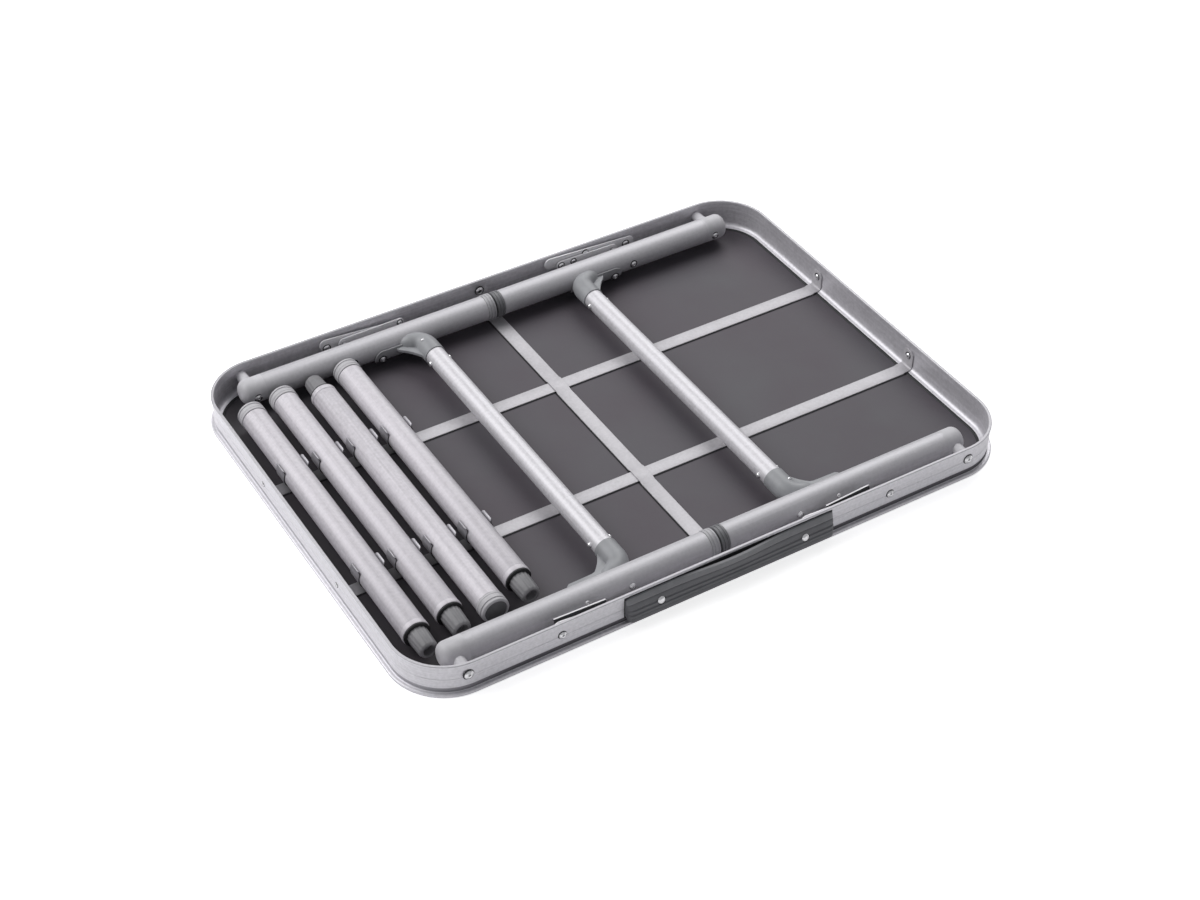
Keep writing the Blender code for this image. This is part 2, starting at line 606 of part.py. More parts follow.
def build_elbow(side_x, side_y, label, fold):
    """Plastic fitting that joins a cross tube to the inner side of a leg."""
    x = side_x * CROSS_X
    reach = LEG_Y - LEG_R / 2
    spigot = CROSS_R - CROSS_WALL - GAP
    body = [(CROSS_HALF - ELBOW_SPIGOT_L, spigot - GAP), (CROSS_HALF - ELBOW_SPIGOT_L + GAP, spigot)]
    body += [(CROSS_HALF, spigot), (CROSS_HALF, ELBOW_R), (CROSS_HALF + GAP, ELBOW_R + GAP)]
    body += [(CROSS_HALF + (reach - CROSS_HALF) / 3, ELBOW_R + GAP), (reach, LEG_R - GAP)]
    shell = lathe((x, 0, LEG_Z), (0, side_y, 0), body, False)
    elbow = add_object(f"elbow_{label}", shell, GREY_PLASTIC, 0.5, 0.0)
    half = math.degrees(SADDLE_HALF_ANGLE)
    outline = arc((0, 0), SADDLE_R, -half, half, 8)
    outline += arc((0, 0), LEG_R - 4 * GAP, half, -half, 8)
    place = lambda u, v, depth: Vector((side_x * depth, side_y * (LEG_Y - u), LEG_Z + v))
    saddle = tool_object(prism(outline, SADDLE_NEAR, SADDLE_FAR, place))
    combine(elbow, saddle, "UNION")
    edge = LEG_Y - SADDLE_R + GAP
    web = [(0, edge + LEG_R / 4), (0, edge - WEB_REACH * 0.7), (ELBOW_R, edge - WEB_REACH * 0.7)]
    web += [(ELBOW_R + WEB_REACH, edge), (ELBOW_R + WEB_REACH, edge + LEG_R / 4)]
    place = lambda u, v, depth: Vector((x + side_x * u, side_y * v, LEG_Z + depth))
    combine(elbow, tool_object(prism(web, -WEB_T / 2, WEB_T / 2, place)), "UNION")
    run = SADDLE_FAR - SADDLE_NEAR + 4 * ELBOW_R
    start = (side_x * (SADDLE_NEAR - 2 * ELBOW_R), side_y * LEG_Y, LEG_Z)
    bore = tool_object(rod(start, (side_x, 0, 0), run, LEG_R + GAP))
    combine(elbow, bore, "DIFFERENCE")
    hang(elbow, fold)


def build_frames():
    """Both folding leg frames with their fittings and stays."""
    for side_x, end in ((-1, "left"), (1, "right")):
        fold = joint_axis(f"{end}_legs_axis", (side_x * PIVOT_X[end], 0, LEG_Z))
        for side_y, side in ((-1, "front"), (1, "back")):
            label = f"{end}_{side}"
            build_leg(side_x, side_y, end, label, fold)
            build_elbow(side_x, side_y, label, fold)
            build_stays(side_x, side_y, end, label)
        inner = CROSS_R - CROSS_WALL
        half = CROSS_HALF - GAP
        tube = [(-half, CROSS_R), (half, CROSS_R), (half, inner), (-half, inner)]
        shell = lathe((side_x * CROSS_X, 0, LEG_Z), (0, 1, 0), tube, True)
        hang(add_object(f"cross_tube_{end}", shell, ALUMINIUM, 0.3, 1.0), fold)


def handle_section(share, bow):
    """Section of the handle as (outward, height) points, drawn in by a share."""
    middle = (HANDLE_TOP + HANDLE_LOW) / 2
    inner = GAP + HANDLE_BOW * bow
    top = HANDLE_EDGE + (HANDLE_BELLY - HANDLE_EDGE) * 0.72 * bow
    face = []
    steps = 8
    for step in range(steps + 1):
        fall = step / steps
        depth = top + (HANDLE_BELLY - top) * math.sin(fall * math.pi / 2)
        flute = RIB_DEPTH if step in (3, 5) else 0
        face.append((depth - flute, HANDLE_TOP - GAP - fall * (HANDLE_TOP - HANDLE_BEND)))
    bottom_in = HANDLE_BELLY - WALL_T
    points = [(inner, HANDLE_BEND), (inner, HANDLE_TOP - 2 * GAP), (inner + GAP, HANDLE_TOP)]
    points += face
    points += [(HANDLE_BELLY, HANDLE_LOW + 2 * GAP), (HANDLE_BELLY - GAP, HANDLE_LOW)]
    points += [(bottom_in, HANDLE_LOW), (bottom_in - GAP, HANDLE_BEND - GAP)]
    drawn = []
    for outward, height in points:
        slim = inner + (outward - inner) * (0.45 + 0.55 * share)
        drawn.append((slim, middle + (height - middle) * (0.86 + 0.14 * share)))
    return drawn


def build_handle():
    """Bowed grip on the front wall, with the gap for fingers behind it."""
    shell = bmesh.new()
    rings = []
    round_end = 0.006
    spots = [-HANDLE_HALF + round_end * (1 - math.cos(step * math.pi / 6)) for step in range(3)]
    inner_span = HANDLE_HALF - round_end
    spots += [inner_span * (2 * step / HANDLE_STATIONS - 1) for step in range(HANDLE_STATIONS + 1)]
    spots += [-spot for spot in reversed(spots[:3])]
    for x in spots:
        bow = math.cos(x / HANDLE_BOW_HALF * math.pi / 2) ** 2 if abs(x) < HANDLE_BOW_HALF else 0
        past = max(0.0, abs(x) - inner_span) / round_end
        share = math.sqrt(max(0.0, 1 - past * past))
        ring = []
        for outward, height in handle_section(share, bow):
            ring.append(shell.verts.new((HANDLE_X + x, -WALL_Y - outward, height)))
        rings.append(ring)
    size = len(rings[0])
    for ring, following in zip(rings, rings[1:]):
        for spot in range(size):
            after = (spot + 1) % size
            shell.faces.new((ring[spot], ring[after], following[after], following[spot]))
    shell.faces.new(rings[0])
    shell.faces.new(list(reversed(rings[-1])))
    handle = add_object("handle", shell, DARK_PLASTIC, 0.6, 0.0)
    for side_x in (-1, 1):
        x = HANDLE_X + side_x * HANDLE_RIVET_X
        start = (x, -WALL_Y + WALL_T, HANDLE_RIVET_Z)
        drill = tool_object(rod(start, (0, -1, 0), 3 * HANDLE_BELLY, STAY_HOLE_R, RIVET_STEPS))
        combine(handle, drill, "DIFFERENCE")
        inside = WALL_Y - WALL_T - GAP
        outside = WALL_Y + HANDLE_BELLY + GAP
        thick = STAY_PIN_R / 2
        rivet = [(inside - thick, STAY_PIN_R), (inside - thick / 2, STAY_HEAD_R), (inside, STAY_HEAD_R)]
        rivet += [(inside, STAY_PIN_R), (outside, STAY_PIN_R), (outside, STAY_HEAD_R)]
        rivet += [(outside + thick / 2, STAY_HEAD_R), (outside + thick, STAY_PIN_R)]
        side = "left" if side_x < 0 else "right"
        shell = lathe((x, 0, HANDLE_RIVET_Z), (0, -1, 0), rivet, False, RIVET_STEPS)
        add_object(f"handle_rivet_{side}", shell, BRIGHT, 0.28, 1.0)


build_rim()
build_board()
build_straps()
build_clips()
build_extension_legs()
build_frames()
build_handle()
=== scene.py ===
import math

import bmesh
import bpy
from mathutils import Matrix, Vector


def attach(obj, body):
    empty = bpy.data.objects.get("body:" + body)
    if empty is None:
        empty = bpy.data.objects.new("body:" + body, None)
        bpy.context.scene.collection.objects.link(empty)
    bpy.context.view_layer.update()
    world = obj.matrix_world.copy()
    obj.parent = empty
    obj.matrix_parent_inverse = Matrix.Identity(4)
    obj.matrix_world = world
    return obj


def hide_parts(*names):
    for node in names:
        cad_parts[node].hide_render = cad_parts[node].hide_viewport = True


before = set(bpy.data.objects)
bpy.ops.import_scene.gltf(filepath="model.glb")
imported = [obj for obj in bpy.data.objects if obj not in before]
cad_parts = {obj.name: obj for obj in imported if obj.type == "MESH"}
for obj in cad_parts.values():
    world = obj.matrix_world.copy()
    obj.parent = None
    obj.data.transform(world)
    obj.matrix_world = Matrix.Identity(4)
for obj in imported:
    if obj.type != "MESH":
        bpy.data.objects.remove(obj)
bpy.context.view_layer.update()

# The place where the table was photographed: a white floor under a white sky,
# seen from the front left and from above. The sky and the floor are white to
# the eye and to metal, and only the shade that the table throws shows on them.
camera_data = bpy.data.cameras.new("camera")
camera_data.sensor_width = 36
camera_data.lens = 63.2
camera = bpy.data.objects.new("camera", camera_data)
bpy.context.scene.collection.objects.link(camera)
camera_right = Vector((0.85375, -0.52065, 0.00634))
camera_up = Vector((0.33702, 0.56184, 0.75548))
camera_back = Vector((-0.39690, -0.64286, 0.65514))
camera.matrix_world = Matrix((camera_right, camera_up, camera_back)).transposed().to_4x4()
camera.matrix_world.translation = (-0.8817, -1.4309, 1.4310)
bpy.context.scene.camera = camera
bpy.context.scene.view_settings.view_transform = "Standard"

sky = bpy.data.worlds.new("studio_sky")
sky.use_nodes = True
sky_nodes = sky.node_tree.nodes
soft_sky = sky_nodes["Background"]
soft_sky.inputs["Color"].default_value = (0.95, 0.97, 1.0, 1.0)
soft_sky.inputs["Strength"].default_value = 0.20
seen_sky = sky_nodes.new("ShaderNodeBackground")
seen_sky.inputs["Color"].default_value = (1.0, 1.0, 1.0, 1.0)
seen_sky.inputs["Strength"].default_value = 1.0
mirrored_sky = sky_nodes.new("ShaderNodeBackground")
mirrored_sky.inputs["Color"].default_value = (0.97, 0.98, 1.0, 1.0)
mirrored_sky.inputs["Strength"].default_value = 0.50
ray = sky_nodes.new("ShaderNodeLightPath")
pick_mirrored = sky_nodes.new("ShaderNodeMixShader")
pick_seen = sky_nodes.new("ShaderNodeMixShader")
for source, target in (
        (ray.outputs["Is Glossy Ray"], pick_mirrored.inputs[0]),
        (soft_sky.outputs[0], pick_mirrored.inputs[1]),
        (mirrored_sky.outputs[0], pick_mirrored.inputs[2]),
        (ray.outputs["Is Camera Ray"], pick_seen.inputs[0]),
        (pick_mirrored.outputs[0], pick_seen.inputs[1]),
        (seen_sky.outputs[0], pick_seen.inputs[2]),
        (pick_seen.outputs[0], sky_nodes["World Output"].inputs["Surface"])):
    sky.node_tree.links.new(source, target)
bpy.context.scene.world = sky

floor_mesh = bmesh.new()
bmesh.ops.create_grid(floor_mesh, x_segments=1, y_segments=1, size=8)
bmesh.ops.translate(floor_mesh, verts=floor_mesh.verts, vec=(0, 0, -0.0001))
floor_data = bpy.data.meshes.new("floor")
floor_mesh.to_mesh(floor_data)
floor_mesh.free()
floor = bpy.data.objects.new("floor", floor_data)
bpy.context.scene.collection.objects.link(floor)
floor_paint = bpy.data.materials.new("floor_paint")
floor_paint.use_nodes = True
floor_nodes = floor_paint.node_tree.nodes
floor_nodes.remove(floor_nodes["Principled BSDF"])
floor_matt = floor_nodes.new("ShaderNodeBsdfDiffuse")
floor_matt.inputs["Color"].default_value = (0.86, 0.86, 0.87, 1.0)
floor_glow = floor_nodes.new("ShaderNodeEmission")
floor_glow.inputs["Color"].default_value = (1.0, 1.0, 1.0, 1.0)
floor_ray = floor_nodes.new("ShaderNodeLightPath")
floor_lift = floor_nodes.new("ShaderNodeMath")
floor_lift.operation = "MULTIPLY"
floor_lift.inputs[1].default_value = 0.74
floor_mirrored = floor_nodes.new("ShaderNodeMath")
floor_mirrored.operation = "MULTIPLY"
floor_mirrored.inputs[1].default_value = 0.44
floor_both = floor_nodes.new("ShaderNodeMath")
floor_both.operation = "ADD"
floor_sum = floor_nodes.new("ShaderNodeAddShader")
for source, target in (
        (floor_ray.outputs["Is Camera Ray"], floor_lift.inputs[0]),
        (floor_ray.outputs["Is Glossy Ray"], floor_mirrored.inputs[0]),
        (floor_lift.outputs[0], floor_both.inputs[0]),
        (floor_mirrored.outputs[0], floor_both.inputs[1]),
        (floor_both.outputs[0], floor_glow.inputs["Strength"]),
        (floor_matt.outputs[0], floor_sum.inputs[0]),
        (floor_glow.outputs[0], floor_sum.inputs[1]),
        (floor_sum.outputs[0], floor_nodes["Material Output"].inputs["Surface"])):
    floor_paint.node_tree.links.new(source, target)
floor_data.materials.append(floor_paint)

for lamp_name, spot, size, power in (
        ("lamp_left", (-1.6, 1.2, 1.9), 2.0, 50),
        ("lamp_right", (1.5, 1.4, 2.0), 2.0, 40)):
    lamp_data = bpy.data.lights.new(lamp_name, "AREA")
    lamp_data.energy = power
    lamp_data.size = size
    lamp = bpy.data.objects.new(lamp_name, lamp_data)
    lamp.location = spot
    lamp.rotation_euler = Vector(spot).to_track_quat("Z", "Y").to_euler()
    bpy.context.scene.collection.objects.link(lamp)

# Rim: one satin anodised aluminium extrusion, bent round the four corners of
# the tabletop. A bead runs round its foot, with a groove above it that carries
# painted shade, paler towards the left end where light falls. A fine line
# crosses the wall, and a lip closes its top, painted darker to hold back its highlight.
RIM_X = 0.3433
RIM_Y = 0.2535
RIM_CORNER = 0.0572
RIM_BEND_STEPS = 28
GROOVE_LOW = 0.0043
GROOVE_HIGH = 0.0090
LIP_LOW = 0.0366
SHARP_TURN = 32
WELD = 0.000005
# Painted shade along the table's length starts here and runs this far.
SHADE_START = -0.35
SHADE_SPAN = 0.40


def patterned_material(name):
    """A new material, its node tree and the object's own coordinates."""
    made = bpy.data.materials.new(name)
    made.use_nodes = True
    tree = made.node_tree
    return made, tree, tree.nodes.new("ShaderNodeTexCoord").outputs["Object"]


def noise_pattern(tree, place, scale, detail, roughness=0.5):
    """Noise on given coordinates, as one value from 0 to 1."""
    pattern = tree.nodes.new("ShaderNodeTexNoise")
    pattern.inputs["Scale"].default_value = scale
    pattern.inputs["Detail"].default_value = detail
    pattern.inputs["Roughness"].default_value = roughness
    tree.links.new(place, pattern.inputs["Vector"])
    return pattern.outputs["Fac"]


def two_tones(tree, pattern, *stops):
    """Colour the shader between two (share, colour) stops of a pattern."""
    tint = tree.nodes.new("ShaderNodeValToRGB")
    for element, (share, colour) in zip(tint.color_ramp.elements, stops):
        element.position = share
        element.color = (*colour, 1.0)
    tree.links.new(pattern, tint.inputs["Fac"])
    tree.links.new(tint.outputs["Color"], tree.nodes["Principled BSDF"].inputs["Base Color"])


def vary_roughness(tree, pattern, spread, low, high):
    """Let the roughness follow a pattern from low to high over its spread."""
    rough = tree.nodes.new("ShaderNodeMapRange")
    rough.inputs["From Min"].default_value = spread[0]
    rough.inputs["From Max"].default_value = spread[1]
    rough.inputs["To Min"].default_value = low
    rough.inputs["To Max"].default_value = high
    tree.links.new(pattern, rough.inputs["Value"])
    tree.links.new(rough.outputs["Result"], tree.nodes["Principled BSDF"].inputs["Roughness"])


def raise_grain(tree, pattern, strength, distance):
    """Let a pattern stand out of the surface as a fine relief."""
    bump = tree.nodes.new("ShaderNodeBump")
    bump.inputs["Strength"].default_value = strength
    bump.inputs["Distance"].default_value = distance
    tree.links.new(pattern, bump.inputs["Height"])
    tree.links.new(bump.outputs["Normal"], tree.nodes["Principled BSDF"].inputs["Normal"])


def satin_metal(name, colour, roughness, grain_along, metallic=0.8, grain_depth=0.12, stain=0.10):
    """Anodised or rolled metal: fine grain lines along one direction, soft stains."""
    made, tree, place = patterned_material(name)
    tree.nodes["Principled BSDF"].inputs["Metallic"].default_value = metallic
    stretch = tree.nodes.new("ShaderNodeMapping")
    stretch.inputs["Scale"].default_value = grain_along
    tree.links.new(place, stretch.inputs["Vector"])
    lines = noise_pattern(tree, stretch.outputs["Vector"], 1.0, 4.0, 0.65)
    patches = noise_pattern(tree, place, 300.0, 3.0)
    blend = tree.nodes.new("ShaderNodeMix")
    blend.inputs["Factor"].default_value = 0.45
    tree.links.new(lines, blend.inputs[2])
    tree.links.new(patches, blend.inputs[3])
    dark = [part * (1 - stain) for part in colour]
    pale = [min(1.0, part * (1 + stain * 0.5)) for part in colour]
    two_tones(tree, blend.outputs[0], (0.32, dark), (0.68, pale))
    vary_roughness(tree, blend.outputs[0], (0.3, 0.7), roughness * 0.82, roughness * 1.2)
    raise_grain(tree, lines, grain_depth, 0.0002)
    return made


def paint_shade_along(finish, stops):
    """Paint shade into a finish along the table's length, by (x, tone) stops from left to right."""
    nodes = finish.node_tree.nodes
    links = finish.node_tree.links
    base = nodes["Principled BSDF"].inputs["Base Color"]
    plain = base.links[0].from_socket
    split = nodes.new("ShaderNodeSeparateXYZ")
    span = nodes.new("ShaderNodeMapRange")
    span.inputs["From Min"].default_value = SHADE_START
    span.inputs["From Max"].default_value = SHADE_START + SHADE_SPAN
    tone = nodes.new("ShaderNodeValToRGB")
    while len(tone.color_ramp.elements) < len(stops):
        tone.color_ramp.elements.new(0.5)
    for element, (x, level) in zip(tone.color_ramp.elements, stops):
        element.position = (x - SHADE_START) / SHADE_SPAN
        element.color = (level, level, level, 1.0)
    shade_mixed = nodes.new("ShaderNodeMix")
    shade_mixed.data_type = "RGBA"
    shade_mixed.blend_type = "MULTIPLY"
    shade_mixed.inputs[0].default_value = 1.0
    links.new(nodes["Texture Coordinate"].outputs["Object"], split.inputs[0])
    links.new(split.outputs["X"], span.inputs["Value"])
    links.new(span.outputs["Result"], tone.inputs["Fac"])
    links.new(plain, shade_mixed.inputs[6])
    links.new(tone.outputs["Color"], shade_mixed.inputs[7])
    links.new(shade_mixed.outputs[2], base)


def finished_piece(name, shell, finish, body, stands_for=()):
    """Make a bmesh an object with its finish, and fix it to its moving body."""
    bmesh.ops.remove_doubles(shell, verts=shell.verts, dist=WELD)
    bmesh.ops.recalc_face_normals(shell, faces=shell.faces)
    data = bpy.data.meshes.new(name)
    shell.to_mesh(data)
    shell.free()
    data.materials.append(finish)
    data.shade_smooth()
    data.set_sharp_from_angle(angle=math.radians(SHARP_TURN))
    piece = bpy.data.objects.new(name, data)
    bpy.context.scene.collection.objects.link(piece)
    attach(piece, body)
    if stands_for:
        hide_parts(*stands_for)
    return piece


def arc_points(centre, radius, first, last, steps):
    """Points on an arc, with its angles in degrees."""
    turns = [math.radians(first + (last - first) * step / steps) for step in range(steps + 1)]
    across, up = centre
    return [(across + radius * math.cos(turn), up + radius * math.sin(turn)) for turn in turns]


def moved_verts(geometry):
    """The vertices among what an extrusion has drawn."""
    return [part for part in geometry if isinstance(part, bmesh.types.BMVert)]


def rim_section():
    """Section of the extrusion as (outward, height) points, bead first."""
    points = [(-0.006, 0.0003), (-0.0057, 0.0)]
    points += arc_points((0.0031, 0.0009), 0.0009, -90, 0, 4)
    points += arc_points((0.0027, 0.0026), 0.0013, 0, 90, 6)
    points += [(0.0004, 0.0039), (0.0, 0.0042), (-0.0009, 0.0044), (-0.0009, 0.0089)]
    points += [(-0.0002, 0.0092), (0.0, 0.0095), (0.0, 0.0199), (-0.0003, 0.0203)]
    points += [(-0.0003, 0.0207), (0.0, 0.0211), (0.0, 0.0340), (0.0006, 0.0347)]
    points += arc_points((0.0000, 0.0366), 0.0007, 0, 90, 4)
    points += arc_points((-0.0018, 0.0366), 0.0007, 90, 180, 4)
    points += [(-0.0025, 0.0348), (-0.0018, 0.0340)]
    for across, down in arc_points((0, 0), 1.0, 0, -90, 8):
        points.append((-0.0068 + 0.0050 * across, 0.0092 + 0.0055 * down))
    points += [(-0.0072, 0.0034), (-0.0072, 0.0027), (-0.001, 0.0027), (-0.001, 0.0006)]
    points.append((-0.006, 0.0006))
    return points


def bent_round(section):
    """Draw a section of (outward, height) points round the tabletop's outline."""
    shell = bmesh.new()
    side_x = RIM_X - RIM_CORNER
    side_y = RIM_Y - RIM_CORNER
    loop = [shell.verts.new((RIM_X + outward, -side_y, height)) for outward, height in section]
    edges = [shell.edges.new(pair) for pair in zip(loop, loop[1:] + loop[:1])]
    straights = ((0, 2 * side_y, 0), (-2 * side_x, 0, 0), (0, -2 * side_y, 0), (2 * side_x, 0, 0))
    corners = ((side_x, side_y, 0), (-side_x, side_y, 0), (-side_x, -side_y, 0), (side_x, -side_y, 0))
    for straight, corner in zip(straights, corners):
        drawn = bmesh.ops.extrude_edge_only(shell, edges=edges)["geom"]
        moved = moved_verts(drawn)
        bmesh.ops.translate(shell, verts=moved, vec=straight)
        edges = [part for part in drawn if isinstance(part, bmesh.types.BMEdge)]
        bent = bmesh.ops.spin(shell, geom=moved + edges, cent=corner, axis=(0, 0, 1),
                              angle=math.pi / 2, steps=RIM_BEND_STEPS,
                              use_merge=False)["geom_last"]
        edges = [part for part in bent if isinstance(part, bmesh.types.BMEdge)]
    return shell


rim_metal = satin_metal("rim_metal", (0.74, 0.725, 0.76), 0.5, (3.0, 3.0, 420.0), 0.6, 0.12, 0.2)
# Painted shade in the groove above the bead, faded paler towards the left end where light falls.
rim_groove_shade = satin_metal("rim_groove_shade", (0.16, 0.155, 0.17), 0.6, (3.0, 3.0, 420.0))
groove_nodes = rim_groove_shade.node_tree.nodes
groove_split = groove_nodes.new("ShaderNodeSeparateXYZ")
groove_shade_fade = groove_nodes.new("ShaderNodeMapRange")
groove_shade_fade.inputs["From Min"].default_value = -0.335
groove_shade_fade.inputs["From Max"].default_value = -0.245
groove_mix = groove_nodes.new("ShaderNodeMix")
groove_mix.data_type = "RGBA"
groove_mix.inputs[6].default_value = (0.46, 0.45, 0.48, 1.0)
for source, target in (
        (groove_nodes["Texture Coordinate"].outputs["Object"], groove_split.inputs[0]),
        (groove_split.outputs["X"], groove_shade_fade.inputs["Value"]),
        (groove_shade_fade.outputs["Result"], groove_mix.inputs[0]),
        (groove_nodes["Color Ramp"].outputs["Color"], groove_mix.inputs[7]),
        (groove_mix.outputs[2], groove_nodes["Principled BSDF"].inputs["Base Color"])):
    rim_groove_shade.node_tree.links.new(source, target)
# Painted shade: a darker copy of the rim metal for the lip, to hold back its highlight.
rim_lip_shade = satin_metal("rim_lip_shade", (0.52, 0.51, 0.535), 0.55, (3.0, 3.0, 420.0), 0.5, 0.12, 0.2)
rim = finished_piece("rim_extrusion", bent_round(rim_section()), rim_metal, "table",
                     ["rim"])
rim.data.materials.append(rim_groove_shade)
rim.data.materials.append(rim_lip_shade)
for face in rim.data.polygons:
    middle = face.center
    outer_side = middle.x * face.normal.x + middle.y * face.normal.y > 0
    # Groove faces take the painted shade; lip faces take the darker painted tone.
    if outer_side and GROOVE_LOW < middle.z < GROOVE_HIGH:
        face.material_index = 1
    elif middle.z > LIP_LOW:
        face.material_index = 2

# Tabletop board: a thin laminated panel, seen here from its underside. It is
# dark warm grey with a fine pressed grain, with painted shade under the stowed
# legs. A black strip along the rim's slot is painted shadow at the board's edge.
board_laminate, board_tree, board_place = patterned_material("board_laminate")
board_cloud = noise_pattern(board_tree, board_place, 9.0, 5.0)
two_tones(board_tree, board_cloud, (0.3, (0.072, 0.059, 0.073)), (0.7, (0.082, 0.077, 0.088)))
board_tree.nodes["Principled BSDF"].inputs["Roughness"].default_value = 0.62
raise_grain(board_tree, noise_pattern(board_tree, board_place, 900.0, 3.0), 0.25, 0.0002)
# Painted shade on the board between and beside the stowed legs.
paint_shade_along(board_laminate, ((SHADE_START, 0.6), (-0.19, 0.6), (-0.166, 1.0)))
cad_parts["board"].data.materials.clear()
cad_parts["board"].data.materials.append(board_laminate)
# Painted shadow: a thin black strip round the board's edge, under the rim's flange.
edge_shadow_black = satin_metal("edge_shadow_black", (0.02, 0.02, 0.022), 0.6, (90.0, 90.0, 90.0), 0.0)
edge_shadow_section = [(-0.0103, 0.0022), (-0.0070, 0.0022), (-0.0070, 0.0032), (-0.0096, 0.0032),
                (-0.0103, 0.0026)]
finished_piece("board_edge_shadow", bent_round(edge_shadow_section), edge_shadow_black, "table")

# Straps: three galvanised steel strips that brace the board, two along it and
# one across. A thin black strip under each, set a little forward, and their dark
# lower edges are painted shadow, and between the stowed legs they carry painted
# shade. Their ends are bent up the rim wall, each held there by one small hollow
# rivet with a ring of painted shadow round it.
STRAP_Y = 0.0837
TAB_RIVET_Z = 0.0190
TAPE_Z = 0.0022
TAPE_HEIGHT = 0.0007
TAPE_SHIFT = 0.0009
strap_metal = satin_metal("strap_metal", (0.56, 0.545, 0.57), 0.5, (60.0, 60.0, 60.0), 0.2, 0.1, 0.16)
# Painted shade on the straps between the stowed legs.
paint_shade_along(strap_metal, ((-0.326, 1.0), (-0.316, 0.35), (-0.19, 0.35), (-0.178, 1.0)))
# Painted shadow for the dark lower edges of the straps and the near edges of the clips.
edge_shadow_paint = satin_metal("edge_shadow_paint", (0.06, 0.06, 0.065), 0.6, (90.0, 90.0, 90.0), 0.3)
zinc_plate = satin_metal("zinc_plate", (0.74, 0.735, 0.75), 0.26, (150.0, 150.0, 150.0), 0.85,
                         0.05, 0.14)
shadow_gap = satin_metal("shadow_gap", (0.025, 0.025, 0.028), 0.7, (90.0, 90.0, 90.0), 0.0)
# Painted shadow: black strips under the straps, set a little forward so that they show as the straps'
# shadow line.
shadow_tape = satin_metal("shadow_tape", (0.015, 0.014, 0.016), 0.8, (90.0, 90.0, 90.0), 0.0)


def cad_copy(node):
    """A bmesh copy of a CAD node with its loose triangles joined."""
    shell = bmesh.new()
    shell.from_mesh(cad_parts[node].data)
    bmesh.ops.remove_doubles(shell, verts=shell.verts, dist=0.000002)
    bmesh.ops.dissolve_limit(shell, angle_limit=math.radians(1), verts=shell.verts,
                             edges=shell.edges)
    return shell


def soften(shell, width, segments=2, sharpest=28):
    """Round every edge that turns by more than an angle in degrees."""
    sharp = [edge for edge in shell.edges
             if len(edge.link_faces) == 2 and edge.calc_face_angle() > math.radians(sharpest)]
    bmesh.ops.bevel(shell, geom=sharp, offset=width, offset_type="OFFSET", segments=segments,
                    profile=0.5, affect="EDGES", clamp_overlap=True, material=-1)


def turned_shell(outline, start, along, steps=56, closed=False):
    """Spin an outline of (distance, radius) points round an axis."""
    shell = bmesh.new()
    axis = Vector(along).normalized()
    side = axis.orthogonal().normalized()
    points = [shell.verts.new(Vector(start) + axis * run + side * radius)
              for run, radius in outline]
    edges = [shell.edges.new(pair) for pair in zip(points, points[1:])]
    if closed:
        edges.append(shell.edges.new((points[-1], points[0])))
    bmesh.ops.spin(shell, geom=points + edges, cent=start, axis=axis, angle=math.tau,
                   steps=steps, use_merge=True)
    bmesh.ops.remove_doubles(shell, verts=shell.verts, dist=WELD)
    bmesh.ops.recalc_face_normals(shell, faces=shell.faces)
    return shell


def domed_rivet(name, spot, out, radius, height, body, dimple=0.0):
    """A rivet head with a round dome, and a dimple in it if it is hollow."""
    outline = [(-0.0004, 0.0), (-0.0004, radius * 0.96), (height * 0.2, radius)]
    outline += [(height * 0.62, radius * 0.86), (height * 0.9, radius * 0.56)]
    if dimple:
        outline += [(height, radius * 0.5), (height * 0.8, radius * dimple)]
        outline += [(0.0, radius * dimple * 0.9), (0.0, 0.0)]
    else:
        outline += [(height, radius * 0.28), (height, 0.0)]
    finished_piece(name, turned_shell(outline, spot, out, 28), zinc_plate, body)


def shadow_ring(name, spot, out, inner, outer, body, shift=(0, 0, 0), depth=0.0003):
    """A ring of painted shadow round a rivet head, moved by shift to lie on its shaded side."""
    outline = [(-depth, inner), (0.0001, inner), (0.0001, outer), (-depth, outer)]
    shell = turned_shell(outline, Vector(spot) + Vector(shift), out, 28, closed=True)
    finished_piece(name, shell, shadow_gap, body)


for strap in ("strap_long_front", "strap_long_back", "strap_cross"):
    strap_shell = cad_copy(strap)
    soften(strap_shell, 0.0002)
    strip = finished_piece(strap + "_strip", strap_shell, strap_metal, "table", [strap])
    strip.data.materials.append(edge_shadow_paint)
    # Painted shadow on the straps' lower side faces.
    for face in strip.data.polygons:
        if abs(face.normal.z) < 0.3 and face.center.z < 0.0045 and face.normal.y < 0.3:
            face.material_index = 1
for name, centre_x, centre_y, half_x, half_y in (
        ("shadow_tape_front", 0, -STRAP_Y - TAPE_SHIFT, 0.3345, 0.0086),
        ("shadow_tape_back", 0, STRAP_Y - TAPE_SHIFT, 0.3345, 0.0086),
        ("shadow_tape_cross", -TAPE_SHIFT, 0, 0.0086, 0.2445)):
    tape_shell = bmesh.new()
    bmesh.ops.create_grid(tape_shell, x_segments=8, y_segments=8, size=1)
    bmesh.ops.scale(tape_shell, verts=tape_shell.verts, vec=(half_x, half_y, 1))
    bmesh.ops.translate(tape_shell, verts=tape_shell.verts, vec=(centre_x, centre_y, TAPE_Z))
    tape_up = bmesh.ops.extrude_face_region(tape_shell, geom=tape_shell.faces[:])["geom"]
    bmesh.ops.translate(tape_shell, verts=moved_verts(tape_up), vec=(0, 0, TAPE_HEIGHT))
    finished_piece(name, tape_shell, shadow_tape, "table")
tab_spots = [((end_x * 0.3402, side_y * STRAP_Y, TAB_RIVET_Z), (-end_x, 0, 0))
             for end_x in (-1, 1) for side_y in (-1, 1)]
tab_spots += [((-0.0035, side_y * 0.2504, 0.0238), (0, -side_y, 0)) for side_y in (-1, 1)]
